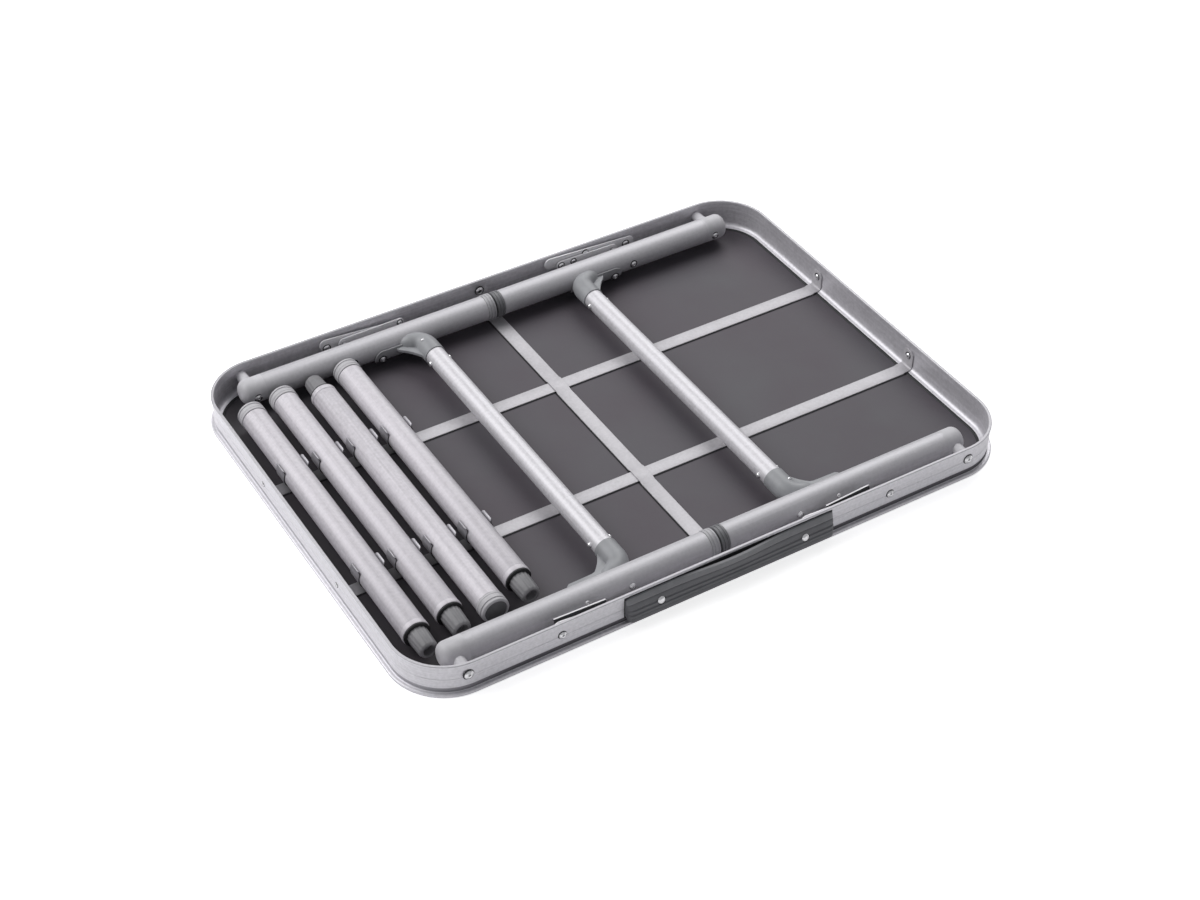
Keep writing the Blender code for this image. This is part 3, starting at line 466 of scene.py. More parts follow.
for number, (spot, out) in enumerate(tab_spots, start=1):
    head = 0.0048 if out[0] == 0 else 0.0034
    domed_rivet(f"tab_rivet_{number}", spot, out, head, 0.0017, "table", dimple=0.45)
    shadow_ring(f"tab_rivet_edge_{number}", spot, out, head * 0.9, head + 0.0010, "table",
              (0, 0, 0.0003))
for number, (end_x, side_y) in enumerate(((-1, -1), (-1, 1), (1, -1), (1, 1)), start=1):
    tail_spot = (end_x * RIM_X, side_y * STRAP_Y, TAB_RIVET_Z)
    tail_out = (end_x, 0, 0)
    domed_rivet(f"tab_rivet_tail_{number}", tail_spot, tail_out, 0.0024, 0.0010, "table", dimple=0.4)
    shadow_ring(f"tab_tail_edge_{number}", tail_spot, tail_out, 0.0021, 0.0030, "table",
              (0, -0.0003, 0.0002))

# Spring clips: bent strips of galvanised steel riveted to the long straps. The
# two arms of each hug a stowed leg, and their tips are turned out a little and
# rounded so that the leg snaps in. Their near edges carry painted shadow.
CLIP_FIRST_X = -0.3093
CLIP_SPACING = 0.0388
CLIP_HALF = 0.009
STOWED_Z = 0.022
clip_steel = satin_metal("clip_steel", (0.40, 0.39, 0.415), 0.45, (90.0, 90.0, 90.0), 0.5)
clip_arm = [(0.0, -0.01745, CLIP_HALF), (0.0062, -0.01745, CLIP_HALF), (0.0085, -0.0163, CLIP_HALF)]
clip_arm += [(x, z, CLIP_HALF) for x, z in arc_points((0, 0), 0.0151, -52, 26, 10)]
clip_arm += [(0.0136, 0.0076, CLIP_HALF), (0.0137, 0.0085, 0.0087), (0.0142, 0.0092, 0.0078)]
clip_arm.append((0.0149, 0.0096, 0.0062))
clip_line = [(-x, z, half) for x, z, half in reversed(clip_arm[1:])] + clip_arm
for number in range(1, 5):
    for row_name, row_y in (("front", -STRAP_Y), ("back", STRAP_Y)):
        clip_x = CLIP_FIRST_X + (number - 1) * CLIP_SPACING
        clip_shell = bmesh.new()
        near = [clip_shell.verts.new((clip_x + x, row_y - half, STOWED_Z + z))
                for x, z, half in clip_line]
        edges = [clip_shell.edges.new(pair) for pair in zip(near, near[1:])]
        drawn = bmesh.ops.extrude_edge_only(clip_shell, edges=edges)["geom"]
        for vert in moved_verts(drawn):
            vert.co.y = 2 * row_y - vert.co.y
        bmesh.ops.recalc_face_normals(clip_shell, faces=clip_shell.faces)
        bmesh.ops.solidify(clip_shell, geom=clip_shell.faces[:], thickness=0.0012)
        soften(clip_shell, 0.0002, sharpest=50)
        clip = finished_piece(f"spring_clip_{number}_{row_name}", clip_shell, clip_steel, "table",
                              [f"clip_{number}_{row_name}"])
        clip.data.materials.append(edge_shadow_paint)
        # Painted shadow on the clip's near edge faces.
        for face in clip.data.polygons:
            if face.normal.y < -0.75:
                face.material_index = 1

# Extension legs: four loose satin tubes. Each has a grey foot with a groove, its
# end face covered by a dark disc of painted shade, and at the other end a rolled ring,
# a black seal and a grey tapered plug that pushes into a folding leg. One of them lies turned round.
STOWED_LENGTH = 0.372
LEG_RADIUS = 0.014
TUBE_WALL = 0.0012
PLUG_RIBS = 14
PLUG_RIB_DEPTH = 0.035
PLUG_RIB_INSIDE = 0.0090
# Painted light: the tubes running front to back are a lighter copy of the leg tubes' metal.
tube_metal_lit_across = satin_metal("tube_metal_lit_across", (0.63, 0.605, 0.64), 0.56, (420.0, 4.0, 420.0),
                                0.3, 0.16, 0.22)


def grained_nylon(name, colour, roughness):
    """Moulded nylon: a fine sparked grain with a faint bloom of lighter patches."""
    made, tree, place = patterned_material(name)
    bloom = noise_pattern(tree, place, 70.0, 4.0)
    dark = [part * 0.9 for part in colour]
    pale = [part * 1.12 for part in colour]
    two_tones(tree, bloom, (0.3, dark), (0.7, pale))
    vary_roughness(tree, bloom, (0.0, 1.0), roughness - 0.06, roughness + 0.08)
    raise_grain(tree, noise_pattern(tree, place, 1600.0, 2.0), 0.2, 0.0001)
    return made


foot_nylon = grained_nylon("foot_nylon", (0.52, 0.51, 0.53), 0.48)
plug_nylon = grained_nylon("plug_nylon", (0.22, 0.216, 0.226), 0.46)
foot_end_shade = grained_nylon("foot_end_shade", (0.13, 0.13, 0.135), 0.55)
seal_rubber = grained_nylon("seal_rubber", (0.012, 0.012, 0.013), 0.6)
foot_spots = ((0.1895, -1), (0.197, -1), (-0.1955, 1), (0.2035, -1))
for number, (foot_y, heading) in enumerate(foot_spots, start=1):
    leg_x = CLIP_FIRST_X + (number - 1) * CLIP_SPACING
    leg_start = (leg_x, foot_y, STOWED_Z)
    leg_along = (0, heading, 0)
    leg_body = f"extension_leg_{number}"
    end = STOWED_LENGTH
    bore = LEG_RADIUS - TUBE_WALL
    outline = [(0.0133, bore), (0.0133, LEG_RADIUS), (end - 0.0068, LEG_RADIUS)]
    outline += [(end - 0.0062, 0.0137), (end - 0.0056, 0.0142), (end - 0.0014, 0.0144)]
    outline += [(end, 0.0139), (end, bore)]
    leg_shell = turned_shell(outline, leg_start, leg_along, closed=True)
    finished_piece(f"extension_leg_tube_{number}", leg_shell, tube_metal_lit_across, leg_body,
                   [f"extension_tube_{number}"])
    plug_fit = bore - 0.0003
    outline = [(0.0012, 0.0), (0.0012, 0.0112), (0.0, 0.0120), (0.0, 0.0134), (0.0010, 0.0145)]
    outline += [(0.0030, 0.0147), (0.0034, 0.0144), (0.0034, 0.0139), (0.0046, 0.0139)]
    outline += [(0.0046, 0.0144), (0.0050, 0.0147), (0.0090, 0.0147), (0.0094, 0.0144)]
    outline += [(0.0098, 0.0144), (0.0102, 0.0147), (0.0124, 0.0147), (0.0128, 0.0143)]
    outline += [(0.0128, plug_fit), (0.026, plug_fit), (0.026, 0.0)]
    foot_shell = turned_shell(outline, leg_start, leg_along)
    finished_piece(f"extension_leg_foot_{number}", foot_shell, foot_nylon, leg_body,
                   [f"extension_foot_{number}"])
    # Painted shade: a dark disc over the foot's end face.
    outline = [(0.0001, 0.0), (0.0001, 0.0108), (0.0004, 0.0117), (0.0030, 0.0117), (0.0030, 0.0)]
    end_shade_shell = turned_shell(outline, leg_start, leg_along, 40)
    finished_piece(f"extension_leg_end_shade_{number}", end_shade_shell, foot_end_shade, leg_body)
    outline = [(end + 0.0002, 0.011), (end + 0.0002, 0.0130), (end + 0.0007, 0.0136)]
    outline += [(end + 0.0016, 0.0136), (end + 0.0022, 0.0124), (end + 0.0022, 0.010)]
    seal_shell = turned_shell(outline, leg_start, leg_along, closed=True)
    finished_piece(f"extension_leg_seal_{number}", seal_shell, seal_rubber, leg_body)
    tip = end + 0.026
    outline = [(end - 0.02, 0.0), (end - 0.02, plug_fit), (end, plug_fit), (end, 0.0108)]
    outline += [(end + 0.003, 0.0104), (tip - 0.0024, 0.0096), (tip - 0.0008, 0.0088)]
    outline += [(tip, 0.0078), (tip, 0.0064), (tip - 0.0006, 0.0058), (tip - 0.008, 0.0054)]
    outline.append((tip - 0.008, 0.0))
    plug_shell = turned_shell(outline, leg_start, leg_along)
    for vert in plug_shell.verts:
        along = (vert.co.y - foot_y) * heading
        across = Vector((vert.co.x - leg_x, 0, vert.co.z - STOWED_Z))
        if end + 0.0025 < along < tip - 0.002 and across.length > PLUG_RIB_INSIDE:
            rib = 1 + PLUG_RIB_DEPTH * math.cos(PLUG_RIBS * math.atan2(across.z, across.x))
            vert.co.x = leg_x + across.x * rib
            vert.co.z = STOWED_Z + across.z * rib
    finished_piece(f"extension_leg_plug_{number}", plug_shell, plug_nylon, leg_body,
                   [f"extension_plug_{number}"])

# Leg frames: two frames of satin tube, each with a leg along the front wall, a
# leg along the back wall and a thinner bar between them. Pins through the bar's
# ends keep it in its elbows.
LEG_Y = 0.2216
LEG_Z = 0.0225
BAR_X = 0.0993
MEET_X = -0.0039
PIVOT_X = {"left": 0.2925, "right": 0.2855}
LEG_END_X = {"left": 0.3070, "right": 0.3020}
LEG_TUBE_START = 0.0105
CAP_LENGTH = 0.0267
BAR_RADIUS = 0.011
BAR_HALF = 0.1831
# Painted light and shade: one satin tube metal, lighter on the cross bars and darker on the legs along
# the walls.
bar_metal_lit = satin_metal("bar_metal_lit", (0.70, 0.685, 0.715), 0.52, (420.0, 4.0, 420.0), 0.35, 0.16, 0.2)
tube_metal_shaded_along = satin_metal("tube_metal_shaded_along", (0.56, 0.55, 0.575), 0.56, (4.0, 420.0, 420.0),
                               0.4, 0.12, 0.14)
for end_name, end_x in (("left", -1), ("right", 1)):
    frame_body = f"{end_name}_legs"
    bar_bore = BAR_RADIUS - 0.0011
    outline = [(-BAR_HALF, bar_bore), (-BAR_HALF, BAR_RADIUS - 0.0002)]
    outline += [(-BAR_HALF + 0.0003, BAR_RADIUS), (BAR_HALF - 0.0003, BAR_RADIUS)]
    outline += [(BAR_HALF, BAR_RADIUS - 0.0002), (BAR_HALF, bar_bore)]
    bar_shell = turned_shell(outline, (end_x * BAR_X, 0, LEG_Z), (0, 1, 0), closed=True)
    finished_piece(f"cross_bar_{end_name}", bar_shell, bar_metal_lit, frame_body,
                   [f"cross_tube_{end_name}"])
    for side_name, side_y in (("front", -1), ("back", 1)):
        corner = f"{end_name}_{side_name}"
        leg_start = (MEET_X, side_y * LEG_Y, LEG_Z)
        tube_out = LEG_END_X[end_name] - end_x * MEET_X - CAP_LENGTH
        leg_bore = LEG_RADIUS - TUBE_WALL
        outline = [(LEG_TUBE_START, leg_bore), (LEG_TUBE_START, LEG_RADIUS - 0.0003)]
        outline += [(LEG_TUBE_START + 0.0003, LEG_RADIUS), (tube_out, LEG_RADIUS), (tube_out, leg_bore)]
        leg_shell = turned_shell(outline, leg_start, (end_x, 0, 0), closed=True)
        finished_piece(f"folding_leg_{corner}", leg_shell, tube_metal_shaded_along, frame_body,
                       [f"leg_tube_{corner}"])
        for pin_side in (-1, 1):
            pin_spot = (end_x * BAR_X + pin_side * 0.0107, side_y * 0.1640, LEG_Z)
            pin_name = f"bar_pin_{corner}_{'in' if pin_side * end_x < 0 else 'out'}"
            domed_rivet(pin_name, pin_spot, (pin_side, 0, 0), 0.0032, 0.0027, frame_body)
        pin_x, small_pin_x = (0.106, 0.1555) if end_x < 0 else (0.089, 0.136)
        outer_pin = (end_x * pin_x, side_y * (LEG_Y + 0.0138), 0.0250)
        domed_rivet(f"leg_pin_{corner}", outer_pin, (0, side_y, 0.18), 0.0036, 0.0024, frame_body)
        small_pin = (end_x * small_pin_x, side_y * (LEG_Y + 0.0131), 0.0274)
        domed_rivet(f"leg_pin_small_{corner}", small_pin, (0, side_y * 0.94, 0.35), 0.0024, 0.0016,
                    frame_body)

# Pivot ends: a grey nylon cap closes the outer end of each leg. It turns on a
# rivet that passes through a spacer and the rim wall, with a domed head outside
# and a smaller tail inside, each with a dark ring of painted shadow round it.
WALL_OUTSIDE_Y = 0.2537
CAP_PLUG = 0.0125
cap_nylon = grained_nylon("cap_nylon", (0.57, 0.56, 0.585), 0.5)
for end_name, end_x in (("left", -1), ("right", 1)):
    for side_name, side_y in (("front", -1), ("back", 1)):
        corner = f"{end_name}_{side_name}"
        leg_start = (MEET_X, side_y * LEG_Y, LEG_Z)
        reach = LEG_END_X[end_name] - end_x * MEET_X
        tube_out = reach - CAP_LENGTH
        outline = [(tube_out - 0.018, 0.0), (tube_out - 0.018, CAP_PLUG), (tube_out, CAP_PLUG)]
        outline.append((tube_out, LEG_RADIUS))
        if corner == "right_front":
            reach -= 0.0045
        bulge = 0.0100 if end_x < 0 else 0.0070
        outline += [(reach - bulge + across, LEG_RADIUS - bulge + up)
                    for up, across in arc_points((0, 0), bulge, 0, 90, 9)]
        outline.append((reach, 0.0))
        cap_shell = turned_shell(outline, leg_start, (end_x, 0, 0))
        finished_piece(f"leg_cap_{corner}", cap_shell, cap_nylon, f"{end_name}_legs",
                       [f"pivot_cap_{corner}"])
        outward = (0, side_y, 0)
        pin_start = (end_x * PIVOT_X[end_name], side_y * LEG_Y, LEG_Z)
        outline = [(0.0118, 0.0), (0.0118, 0.0066), (0.0260, 0.0060), (0.0292, 0.0058), (0.0292, 0.0)]
        spacer_shell = turned_shell(outline, pin_start, outward, 32)
        finished_piece(f"pivot_spacer_{corner}", spacer_shell, cap_nylon, "table",
                       [f"pivot_rivet_{corner}"])
        head_spot = (end_x * PIVOT_X[end_name], side_y * WALL_OUTSIDE_Y, LEG_Z)
        domed_rivet(f"pivot_head_{corner}", head_spot, outward, 0.0050, 0.0019, "table", dimple=0.25)
        shadow_ring(f"pivot_head_edge_{corner}", head_spot, outward, 0.0046, 0.0058, "table",
                  (-0.0005, 0, 0.0006))
        tail_spot = (end_x * (PIVOT_X[end_name] - 0.001), side_y * (LEG_Y - 0.0138), LEG_Z - 0.0012)
        inward = (0, -side_y, 0)
        domed_rivet(f"pivot_tail_{corner}", tail_spot, inward, 0.0033, 0.0015, "table", dimple=0.3)
        shadow_ring(f"pivot_tail_edge_{corner}", tail_spot, inward, 0.0028, 0.0046, "table",
                  depth=0.0012)

# Foot sockets: a collar in the inner end of each folding leg, the same nylon on
# all four, painted pale on the left legs and dark on the right ones as painted
# light and shade. It has two grooves round it and an open bore that takes the plug of an extension leg.
collar_lit = grained_nylon("collar_lit", (0.46, 0.455, 0.475), 0.45)
collar_shaded = grained_nylon("collar_shaded", (0.17, 0.17, 0.18), 0.45)
for end_name, end_x in (("left", -1), ("right", 1)):
    for side_name, side_y in (("front", -1), ("back", 1)):
        corner = f"{end_name}_{side_name}"
        outline = [(0.0014, 0.0106), (0.001, 0.0110), (0.001, 0.0140), (0.0015, 0.0146)]
        outline += [(0.0030, 0.0147), (0.0033, 0.0144), (0.0034, 0.0139), (0.0040, 0.0139)]
        outline += [(0.0041, 0.0144), (0.0044, 0.0147), (0.0068, 0.0147), (0.0071, 0.0144)]
        outline += [(0.0072, 0.0139), (0.0078, 0.0139), (0.0079, 0.0144), (0.0082, 0.0147)]
        outline += [(0.0098, 0.0147), (0.0102, 0.0143), (0.0102, 0.0125), (0.0442, 0.0125)]
        outline.append((0.0442, 0.0106))
        leg_start = (MEET_X, side_y * LEG_Y, LEG_Z)
        collar_shell = turned_shell(outline, leg_start, (end_x, 0, 0), closed=True)
        collar_finish = collar_lit if end_x < 0 else collar_shaded
        finished_piece(f"foot_socket_{corner}", collar_shell, collar_finish, f"{end_name}_legs",
                       [f"foot_ferrule_{corner}"])

# Elbows: moulded nylon bends that carry the bar into the leg. Each has a round
# bend, a flat fin with rounded edges, and a half saddle along the leg, toned as
# painted shade under the leg, that is held by one hollow rivet in a dark ring of painted shade.
BEND_RADIUS = 0.0150
BEND_SIDES = 36
FIN_HALF = 0.0016
SADDLE_RADIUS = 0.0154
SADDLE_WALL = 0.0012
SADDLE_ROWS = 14
SADDLE_RUNS = 18
elbow_nylon = grained_nylon("elbow_nylon", (0.31, 0.315, 0.33), 0.45)
# Painted shade: the saddle's tone stands for the shade on the leg's underside.
saddle_nylon_shaded = grained_nylon("saddle_nylon_shaded", (0.36, 0.36, 0.375), 0.45)
web_outline = ((0.1050, 0.1762), (0.1098, 0.1766), (0.1120, 0.1805), (0.1148, 0.1855),
               (0.1186, 0.1910), (0.1230, 0.1960), (0.1262, 0.1990))
fin_tails = {"front": ((0.1300, 0.2002), (0.1560, 0.2008), (0.1590, 0.2030), (0.1600, 0.2110),
                       (0.1050, 0.2110)),
             "back": ((0.1290, 0.2020), (0.1310, 0.2060), (0.1312, 0.2110), (0.1050, 0.2110))}
bend_path = [(BAR_X, 0.1745, 0, 0.0100), (BAR_X, 0.1745, 0, 0.0118), (BAR_X, 0.1748, 0, 0.0121)]
bend_path += [(BAR_X, 0.1800, 0, 0.0121), (BAR_X, 0.1870, 0, 0.0121)]
for turn in range(0, 91, 10):
    angle = math.radians(turn)
    bend_path.append((BAR_X + BEND_RADIUS * (1 - math.cos(angle)),
                      0.1930 + BEND_RADIUS * math.sin(angle), turn, 0.0121 - 0.0018 * turn / 90))
bend_path += [(BAR_X + 0.0197, 0.2100, 84, 0.0086), (BAR_X + 0.0247, 0.2125, 80, 0.0060)]
bend_path.append((BAR_X + 0.0287, 0.2140, 80, 0.0030))
for end_name, end_x in (("left", -1), ("right", 1)):
    for side_name, side_y in (("front", -1), ("back", 1)):
        corner = f"{end_name}_{side_name}"
        frame_body = f"{end_name}_legs"
        elbow_shell = bmesh.new()
        rings = []
        for along, across, turn, radius in bend_path:
            ring = []
            for step in range(BEND_SIDES):
                angle = math.tau * step / BEND_SIDES
                wide = radius * math.cos(angle)
                ring.append(elbow_shell.verts.new((
                    end_x * (along + wide * math.cos(math.radians(turn))),
                    side_y * (across - wide * math.sin(math.radians(turn))),
                    LEG_Z + radius * math.sin(angle))))
            rings.append([elbow_shell.edges.new(pair) for pair in zip(ring, ring[1:] + ring[:1])])
        for ring, following in zip(rings, rings[1:]):
            bmesh.ops.bridge_loops(elbow_shell, edges=ring + following)
        bmesh.ops.holes_fill(elbow_shell, edges=rings[0] + rings[-1])
        fin_low = [elbow_shell.verts.new((end_x * along, side_y * across, LEG_Z - FIN_HALF))
                   for along, across in web_outline + fin_tails[side_name]]
        fin_face = elbow_shell.faces.new(fin_low)
        fin_up = moved_verts(bmesh.ops.extrude_face_region(elbow_shell, geom=[fin_face])["geom"])
        bmesh.ops.translate(elbow_shell, verts=fin_up, vec=(0, 0, 2 * FIN_HALF))
        fin_rim = [edge for edge in elbow_shell.edges
                   if edge.verts[0] in fin_up and edge.verts[1] in fin_up]
        bmesh.ops.bevel(elbow_shell, geom=fin_rim, offset=0.0005, offset_type="OFFSET", segments=2,
                        profile=0.5, affect="EDGES", clamp_overlap=True, material=-1)
        finished_piece(f"elbow_bend_{corner}", elbow_shell, elbow_nylon, frame_body,
                       [f"elbow_{corner}"])
        saddle_shell = bmesh.new()
        rows = []
        for step in range(SADDLE_ROWS + 1):
            tilt = math.radians(-62 + 76 * step / SADDLE_ROWS)
            share = abs(2 * step / SADDLE_ROWS - 1)
            near_end = 0.090 + 0.006 * share ** 3
            far_end = 0.1560 - 0.0090 * (1 - math.sqrt(1 - 0.98 * share ** 2))
            row = []
            for run in range(SADDLE_RUNS + 1):
                along = near_end + (far_end - near_end) * run / SADDLE_RUNS
                row.append(saddle_shell.verts.new((
                    end_x * along, side_y * (LEG_Y - SADDLE_RADIUS * math.cos(tilt)),
                    LEG_Z + SADDLE_RADIUS * math.sin(tilt))))
            rows.append(row)
        for row, following in zip(rows, rows[1:]):
            for run in range(SADDLE_RUNS):
                saddle_shell.faces.new((row[run], row[run + 1], following[run + 1], following[run]))
        bmesh.ops.recalc_face_normals(saddle_shell, faces=saddle_shell.faces)
        bmesh.ops.solidify(saddle_shell, geom=saddle_shell.faces[:], thickness=SADDLE_WALL)
        soften(saddle_shell, 0.0003, sharpest=50)
        finished_piece(f"elbow_saddle_{corner}", saddle_shell, saddle_nylon_shaded, frame_body)
        below, lean = math.radians(24), math.radians(12)
        rivet_spot = Vector((end_x * 0.1470, side_y * LEG_Y, LEG_Z))
        rivet_spot += Vector((0, -side_y * math.cos(below), -math.sin(below))) * 0.0172
        rivet_out = (0, -side_y * math.cos(lean), -math.sin(lean))
        domed_rivet(f"saddle_rivet_{corner}", rivet_spot, rivet_out, 0.0036, 0.0016, frame_body,
                    dimple=0.4)
        shadow_ring(f"saddle_rivet_edge_{corner}", rivet_spot, rivet_out, 0.0028, 0.0050, frame_body,
                  depth=0.0034)
        if end_x * side_y < 0:
            elbow_spot = (end_x * (BAR_X + 0.0052), side_y * 0.1935, LEG_Z + 0.0106)
            domed_rivet(f"elbow_pin_{corner}", elbow_spot, (end_x * 0.35, 0, 1), 0.0019, 0.0014,
                        frame_body)

# Locking stays: each is a long plate that turns on a rivet in the rim wall and a
# short plate that turns on a pin through the leg, joined by a rivet at the knee.
# They are zinc plated pressings, and the front ones have a narrow bent flange,
# painted darker than its plate with black sides as painted shade. Dark rings of
# painted shadow lie round their rivets.
WALL_PIVOT_IN = 0.0990
LEG_PIVOT_IN = 0.1185
WALL_PIVOT_Z = 0.0213
LEG_PIVOT_Z = 0.0219
KNEE_REACH = 0.087231
LONG_STAY_IN, LONG_STAY_OUT = 0.2474, 0.2490
SHORT_STAY_IN, SHORT_STAY_OUT = 0.2448, 0.2464
stay_zinc = satin_metal("stay_zinc", (0.80, 0.79, 0.81), 0.42, (60.0, 300.0, 300.0), 0.2)
stay_pin_steel = satin_metal("stay_pin_steel", (0.30, 0.30, 0.31), 0.45, (90.0, 90.0, 90.0), 0.6)
# Painted shade: a darker copy of the stay zinc for the bent flange, to hold back its highlight.
stay_flange_zinc_shaded = satin_metal("stay_flange_zinc_shaded", (0.66, 0.65, 0.67), 0.45, (60.0, 300.0, 300.0), 0.2)
stay_ends = {"left_front": ((0.0005, 0.0272, 0.0076), (-0.0010, 0.0197, 0.0052)),
             "left_back": ((0.0010, 0.0255, 0.0070), (-0.0010, 0.0197, 0.0052)),
             "right_front": ((0.0040, 0.0212, 0.0070), (-0.0131, 0.0276, 0.0072)),
             "right_back": ((0.0040, 0.0225, 0.0072), (-0.0131, 0.0288, 0.0070))}
flange_ends = {"left": ((-0.1985, 0.0369), (-0.1420, 0.0345)),
               "right": ((0.1645, 0.0367), (0.1125, 0.0330))}


def plate_shell(first, last, first_r, last_r, low, high, side_y):
    """A flat plate with two round ends, standing along the rim wall."""
    along = (last - first).normalized()
    heading = math.degrees(math.atan2(along.y, along.x))
    lean = math.degrees(math.asin((first_r - last_r) / (last - first).length))
    outline = arc_points(first, first_r, heading + 90 - lean, heading + 270 + lean, 16)
    outline += arc_points(last, last_r, heading - 90 + lean, heading + 90 - lean, 16)
    shell = bmesh.new()
    face = shell.faces.new([shell.verts.new((u, side_y * low, v)) for u, v in outline])
    raised = moved_verts(bmesh.ops.extrude_face_region(shell, geom=[face])["geom"])
    bmesh.ops.translate(shell, verts=raised, vec=(0, side_y * (high - low), 0))
    bmesh.ops.recalc_face_normals(shell, faces=shell.faces)
    soften(shell, 0.0004, 3, 60)
    return shell


def flange_shell(ends, side_y):
    """The bent flange of a front stay, between two (x, top) ends."""
    shell = bmesh.new()
    rings = []
    for x, top in ends:
        section = ((0.2486, 0.0290), (0.2456, top), (0.2440, top), (0.2440, top - 0.0008),
                   (0.2450, top - 0.0008), (0.2478, 0.0290))
        rings.append([shell.verts.new((x, side_y * across, up)) for across, up in section])
    first, last = rings
    for number in range(len(first)):
        after = (number + 1) % len(first)
        shell.faces.new((first[number], first[after], last[after], last[number]))
    shell.faces.new(first)
    shell.faces.new(last[::-1])
    return shell


for end_name, end_x in (("left", -1), ("right", 1)):
    for side_name, side_y in (("front", -1), ("back", 1)):
        corner = f"{end_name}_{side_name}"
        inward, outward = (0, -side_y, 0), (0, side_y, 0)
        wall_spot = Vector((end_x * (PIVOT_X[end_name] - WALL_PIVOT_IN), WALL_PIVOT_Z))
        leg_spot = Vector((end_x * (PIVOT_X[end_name] - LEG_PIVOT_IN), LEG_PIVOT_Z))
        knee_spot = wall_spot + (leg_spot - wall_spot).normalized() * KNEE_REACH
        (wall_past, wall_high, wall_round), (knee_past, knee_high, knee_round) = stay_ends[corner]
        wall_end = Vector((wall_spot.x + end_x * wall_past, wall_high))
        knee_end = Vector((knee_spot.x + end_x * knee_past, knee_high))
        wall_body = f"wall_link_{corner}"
        leg_body = f"leg_link_{corner}"
        shell = plate_shell(wall_end, knee_end, wall_round, knee_round, LONG_STAY_IN,
                            LONG_STAY_OUT, side_y)
        finished_piece(f"long_stay_{corner}", shell, stay_zinc, wall_body, [wall_body])
        knee_head = 0.0036 if end_x > 0 else 0.0028
        shell = plate_shell(leg_spot, knee_spot, 0.0064, knee_head + 0.0022, SHORT_STAY_IN,
                            SHORT_STAY_OUT, side_y)
        finished_piece(f"short_stay_{corner}", shell, stay_zinc, leg_body, [leg_body])
        if side_y < 0:
            flange = finished_piece(f"stay_flange_{corner}",
                                    flange_shell(flange_ends[end_name], side_y),
                                    stay_flange_zinc_shaded, wall_body)
            # Painted shade on the flange's side faces.
            flange.data.materials.append(shadow_gap)
            for face in flange.data.polygons:
                if abs(face.normal.z) < 0.8:
                    face.material_index = 1
        spot = (wall_spot.x, side_y * LONG_STAY_IN, wall_spot.y)
        domed_rivet(f"stay_wall_rivet_{corner}", spot, inward, 0.0038, 0.0016, wall_body)
        shadow_ring(f"stay_wall_ring_{corner}", spot, inward, 0.0030, 0.0050, wall_body)
        spot = (wall_spot.x, side_y * WALL_OUTSIDE_Y, wall_spot.y)
        domed_rivet(f"stay_wall_head_{corner}", spot, outward, 0.0042, 0.0017, wall_body, dimple=0.25)
        spot = (wall_spot.x, side_y * (WALL_OUTSIDE_Y - 0.0001), wall_spot.y)
        shadow_ring(f"stay_head_ring_{corner}", spot, outward, 0.0038, 0.0048, wall_body,
                  (-0.0005, 0, 0.0005))
        spot = (knee_spot.x, side_y * SHORT_STAY_IN, knee_spot.y)
        domed_rivet(f"stay_knee_rivet_{corner}", spot, inward, knee_head, 0.0016, leg_body,
                    dimple=0.35)
        shadow_ring(f"stay_knee_ring_{corner}", spot, inward, knee_head * 0.85, knee_head + 0.0009,
                  leg_body)
        if end_x > 0:
            spot = (knee_spot.x + 0.0160, side_y * SHORT_STAY_IN, knee_spot.y + 0.0002)
            domed_rivet(f"stay_stud_{corner}", spot, inward, 0.0030, 0.0012, leg_body, dimple=0.5)
            shadow_ring(f"stay_stud_ring_{corner}", spot, inward, 0.0026, 0.0042, leg_body)
            spot = (knee_spot.x + 0.0335, side_y * LONG_STAY_IN, 0.0278)
            domed_rivet(f"stay_catch_{corner}", spot, inward, 0.0034, 0.0014, wall_body, dimple=0.5)
            shadow_ring(f"stay_catch_ring_{corner}", spot, inward, 0.0030, 0.0044, wall_body,
                      (-0.0006, 0, 0.0004))
        outline = [(0.0, 0.0), (0.0, 0.0026), (0.0086, 0.0026), (0.0086, 0.0022), (0.0372, 0.0022)]
        outline.append((0.0372, 0.0))
        pin_start = (leg_spot.x, side_y * (SHORT_STAY_IN + 0.0002), leg_spot.y)
        finished_piece(f"stay_leg_pin_{corner}", turned_shell(outline, pin_start, inward, 28),
                       stay_pin_steel, leg_body)
        spot = (leg_spot.x + end_x * 0.0060, side_y * (LEG_Y - 0.0139), LEG_PIVOT_Z)
        domed_rivet(f"stay_leg_tail_{corner}", spot, inward, 0.0034, 0.0015, f"{end_name}_legs",
                    dimple=0.3)
        shadow_ring(f"stay_leg_ring_{corner}", spot, inward, 0.0028, 0.0047, f"{end_name}_legs",
                  depth=0.0020)

# Carry handle: a bowed grip moulded in dark grey nylon with long grooves, its upper
# band painted lighter as a highlight, over a black sheet on the wall that is painted
# shadow in the finger gap. It is held to the front wall by two bright rivets with
# painted shadow crescents. The middle stands clear of the wall for the fingers.
GRIP_X = -0.0065
GRIP_STRAIGHT = 0.1136
GRIP_END = 0.006
GRIP_Z = 0.0204
BOW_HALF = 0.074
FACE_STEPS = 24
GRIP_RIVET_X = 0.0834
GRIP_RIVET_Z = 0.0207
handle_nylon = grained_nylon("handle_nylon", (0.16, 0.16, 0.172), 0.42)
handle_band_highlight = grained_nylon("handle_band_highlight", (0.25, 0.25, 0.265), 0.42)
handle_grooves = {6: 0.0005, 12: 0.0010, 13: 0.0010, 17: 0.0010, 18: 0.0010, 22: 0.0005}
end_spots = [GRIP_STRAIGHT + GRIP_END * math.sin(math.radians(turn)) for turn in range(75, 0, -15)]
handle_spots = [-spot for spot in end_spots]
handle_spots += [GRIP_STRAIGHT * step / 24 for step in range(-24, 25)] + end_spots[::-1]
handle_shell = bmesh.new()
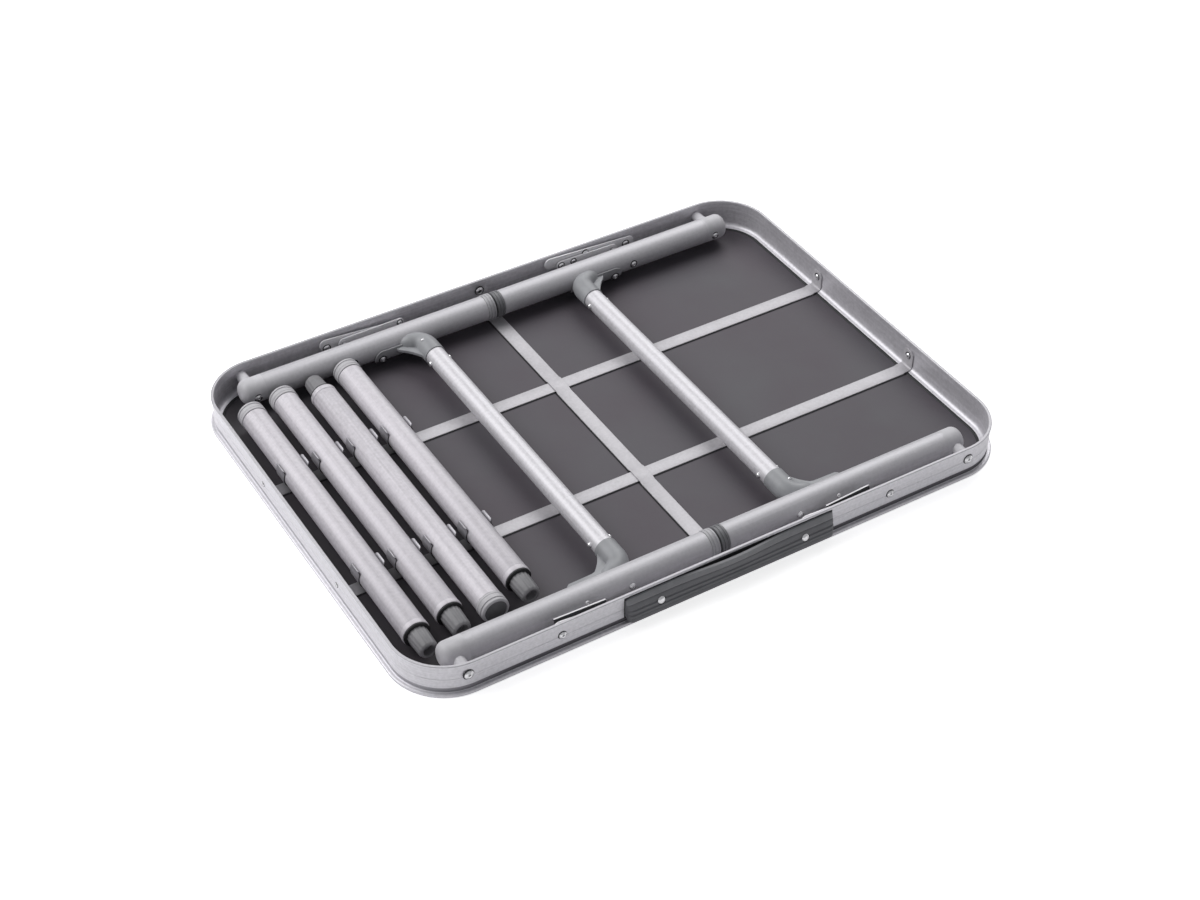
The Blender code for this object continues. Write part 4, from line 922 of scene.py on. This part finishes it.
rings = []
for x in handle_spots:
    bow = math.cos(x / BOW_HALF * math.pi / 2) ** 2 if abs(x) < BOW_HALF else 0
    past = max(0.0, abs(x) - GRIP_STRAIGHT) / GRIP_END
    share = math.sqrt(max(0.0, 1 - past * past))
    inner = 0.0003 + 0.0036 * bow
    top = 0.0032 + 0.0044 * bow
    section = [(inner, 0.0102), (inner, 0.0332), (inner + 0.0003, 0.0336), (top - 0.0004, 0.0336)]
    for step in range(FACE_STEPS + 1):
        fall = step / FACE_STEPS
        depth = top + (0.0094 - top) * math.sin(fall * math.pi / 2) - handle_grooves.get(step, 0)
        section.append((depth, 0.0333 - fall * 0.0231))
    section += [(0.0094, 0.0080), (0.0091, 0.0072), (0.0076, 0.0072), (0.0073, 0.0098)]
    ring = []
    for outward, height in section:
        slim = inner + (outward - inner) * (0.35 + 0.65 * share)
        tall = GRIP_Z + (height - GRIP_Z) * (0.80 + 0.20 * share)
        ring.append(handle_shell.verts.new((GRIP_X + x, -RIM_Y - slim, tall)))
    rings.append([handle_shell.edges.new(pair) for pair in zip(ring, ring[1:] + ring[:1])])
for ring, following in zip(rings, rings[1:]):
    bmesh.ops.bridge_loops(handle_shell, edges=ring + following)
bmesh.ops.holes_fill(handle_shell, edges=rings[0] + rings[-1])
grip = finished_piece("carry_handle_grip", handle_shell, handle_nylon, "table",
                      ["handle"])
grip.data.materials.append(handle_band_highlight)
# Painted highlight on the grip's upper band.
for face in grip.data.polygons:
    if face.center.z > 0.0272 and face.normal.y < 0:
        face.material_index = 1
# Painted shadow: a black sheet on the wall behind the grip.
shadow_sheet_shell = bmesh.new()
bmesh.ops.create_grid(shadow_sheet_shell, x_segments=24, y_segments=2, size=0.5)
bmesh.ops.scale(shadow_sheet_shell, verts=shadow_sheet_shell.verts, vec=(0.2404, 0.0262, 1))
bmesh.ops.rotate(shadow_sheet_shell, verts=shadow_sheet_shell.verts,
                 matrix=Matrix.Rotation(math.pi / 2, 3, "X"))
bmesh.ops.translate(shadow_sheet_shell, verts=shadow_sheet_shell.verts, vec=(GRIP_X, -0.2536, 0.0212))
bmesh.ops.solidify(shadow_sheet_shell, geom=shadow_sheet_shell.faces[:], thickness=0.0002)
finished_piece("carry_handle_shadow_sheet", shadow_sheet_shell, shadow_gap, "table")
for side_name, side_x in (("left", -1), ("right", 1)):
    rivet_x = GRIP_X + side_x * GRIP_RIVET_X
    rivet_spot, rivet_out = (rivet_x, -0.2613, GRIP_RIVET_Z), (0, -1, 0.25)
    outline = [(0.0, 0.0), (0.0, 0.0020), (0.0110, 0.0020), (0.0110, 0.0)]
    shell = turned_shell(outline, (rivet_x, -0.2510, GRIP_RIVET_Z), (0, -1, 0), 24)
    finished_piece(f"handle_rivet_shank_{side_name}", shell, zinc_plate, "table",
                   [f"handle_rivet_{side_name}"])
    domed_rivet(f"handle_rivet_head_{side_name}", rivet_spot, rivet_out, 0.0040, 0.0018, "table")
    shadow_ring(f"handle_rivet_ring_{side_name}", rivet_spot, rivet_out, 0.0030, 0.0046, "table",
              (0.0007, 0, -0.0009))
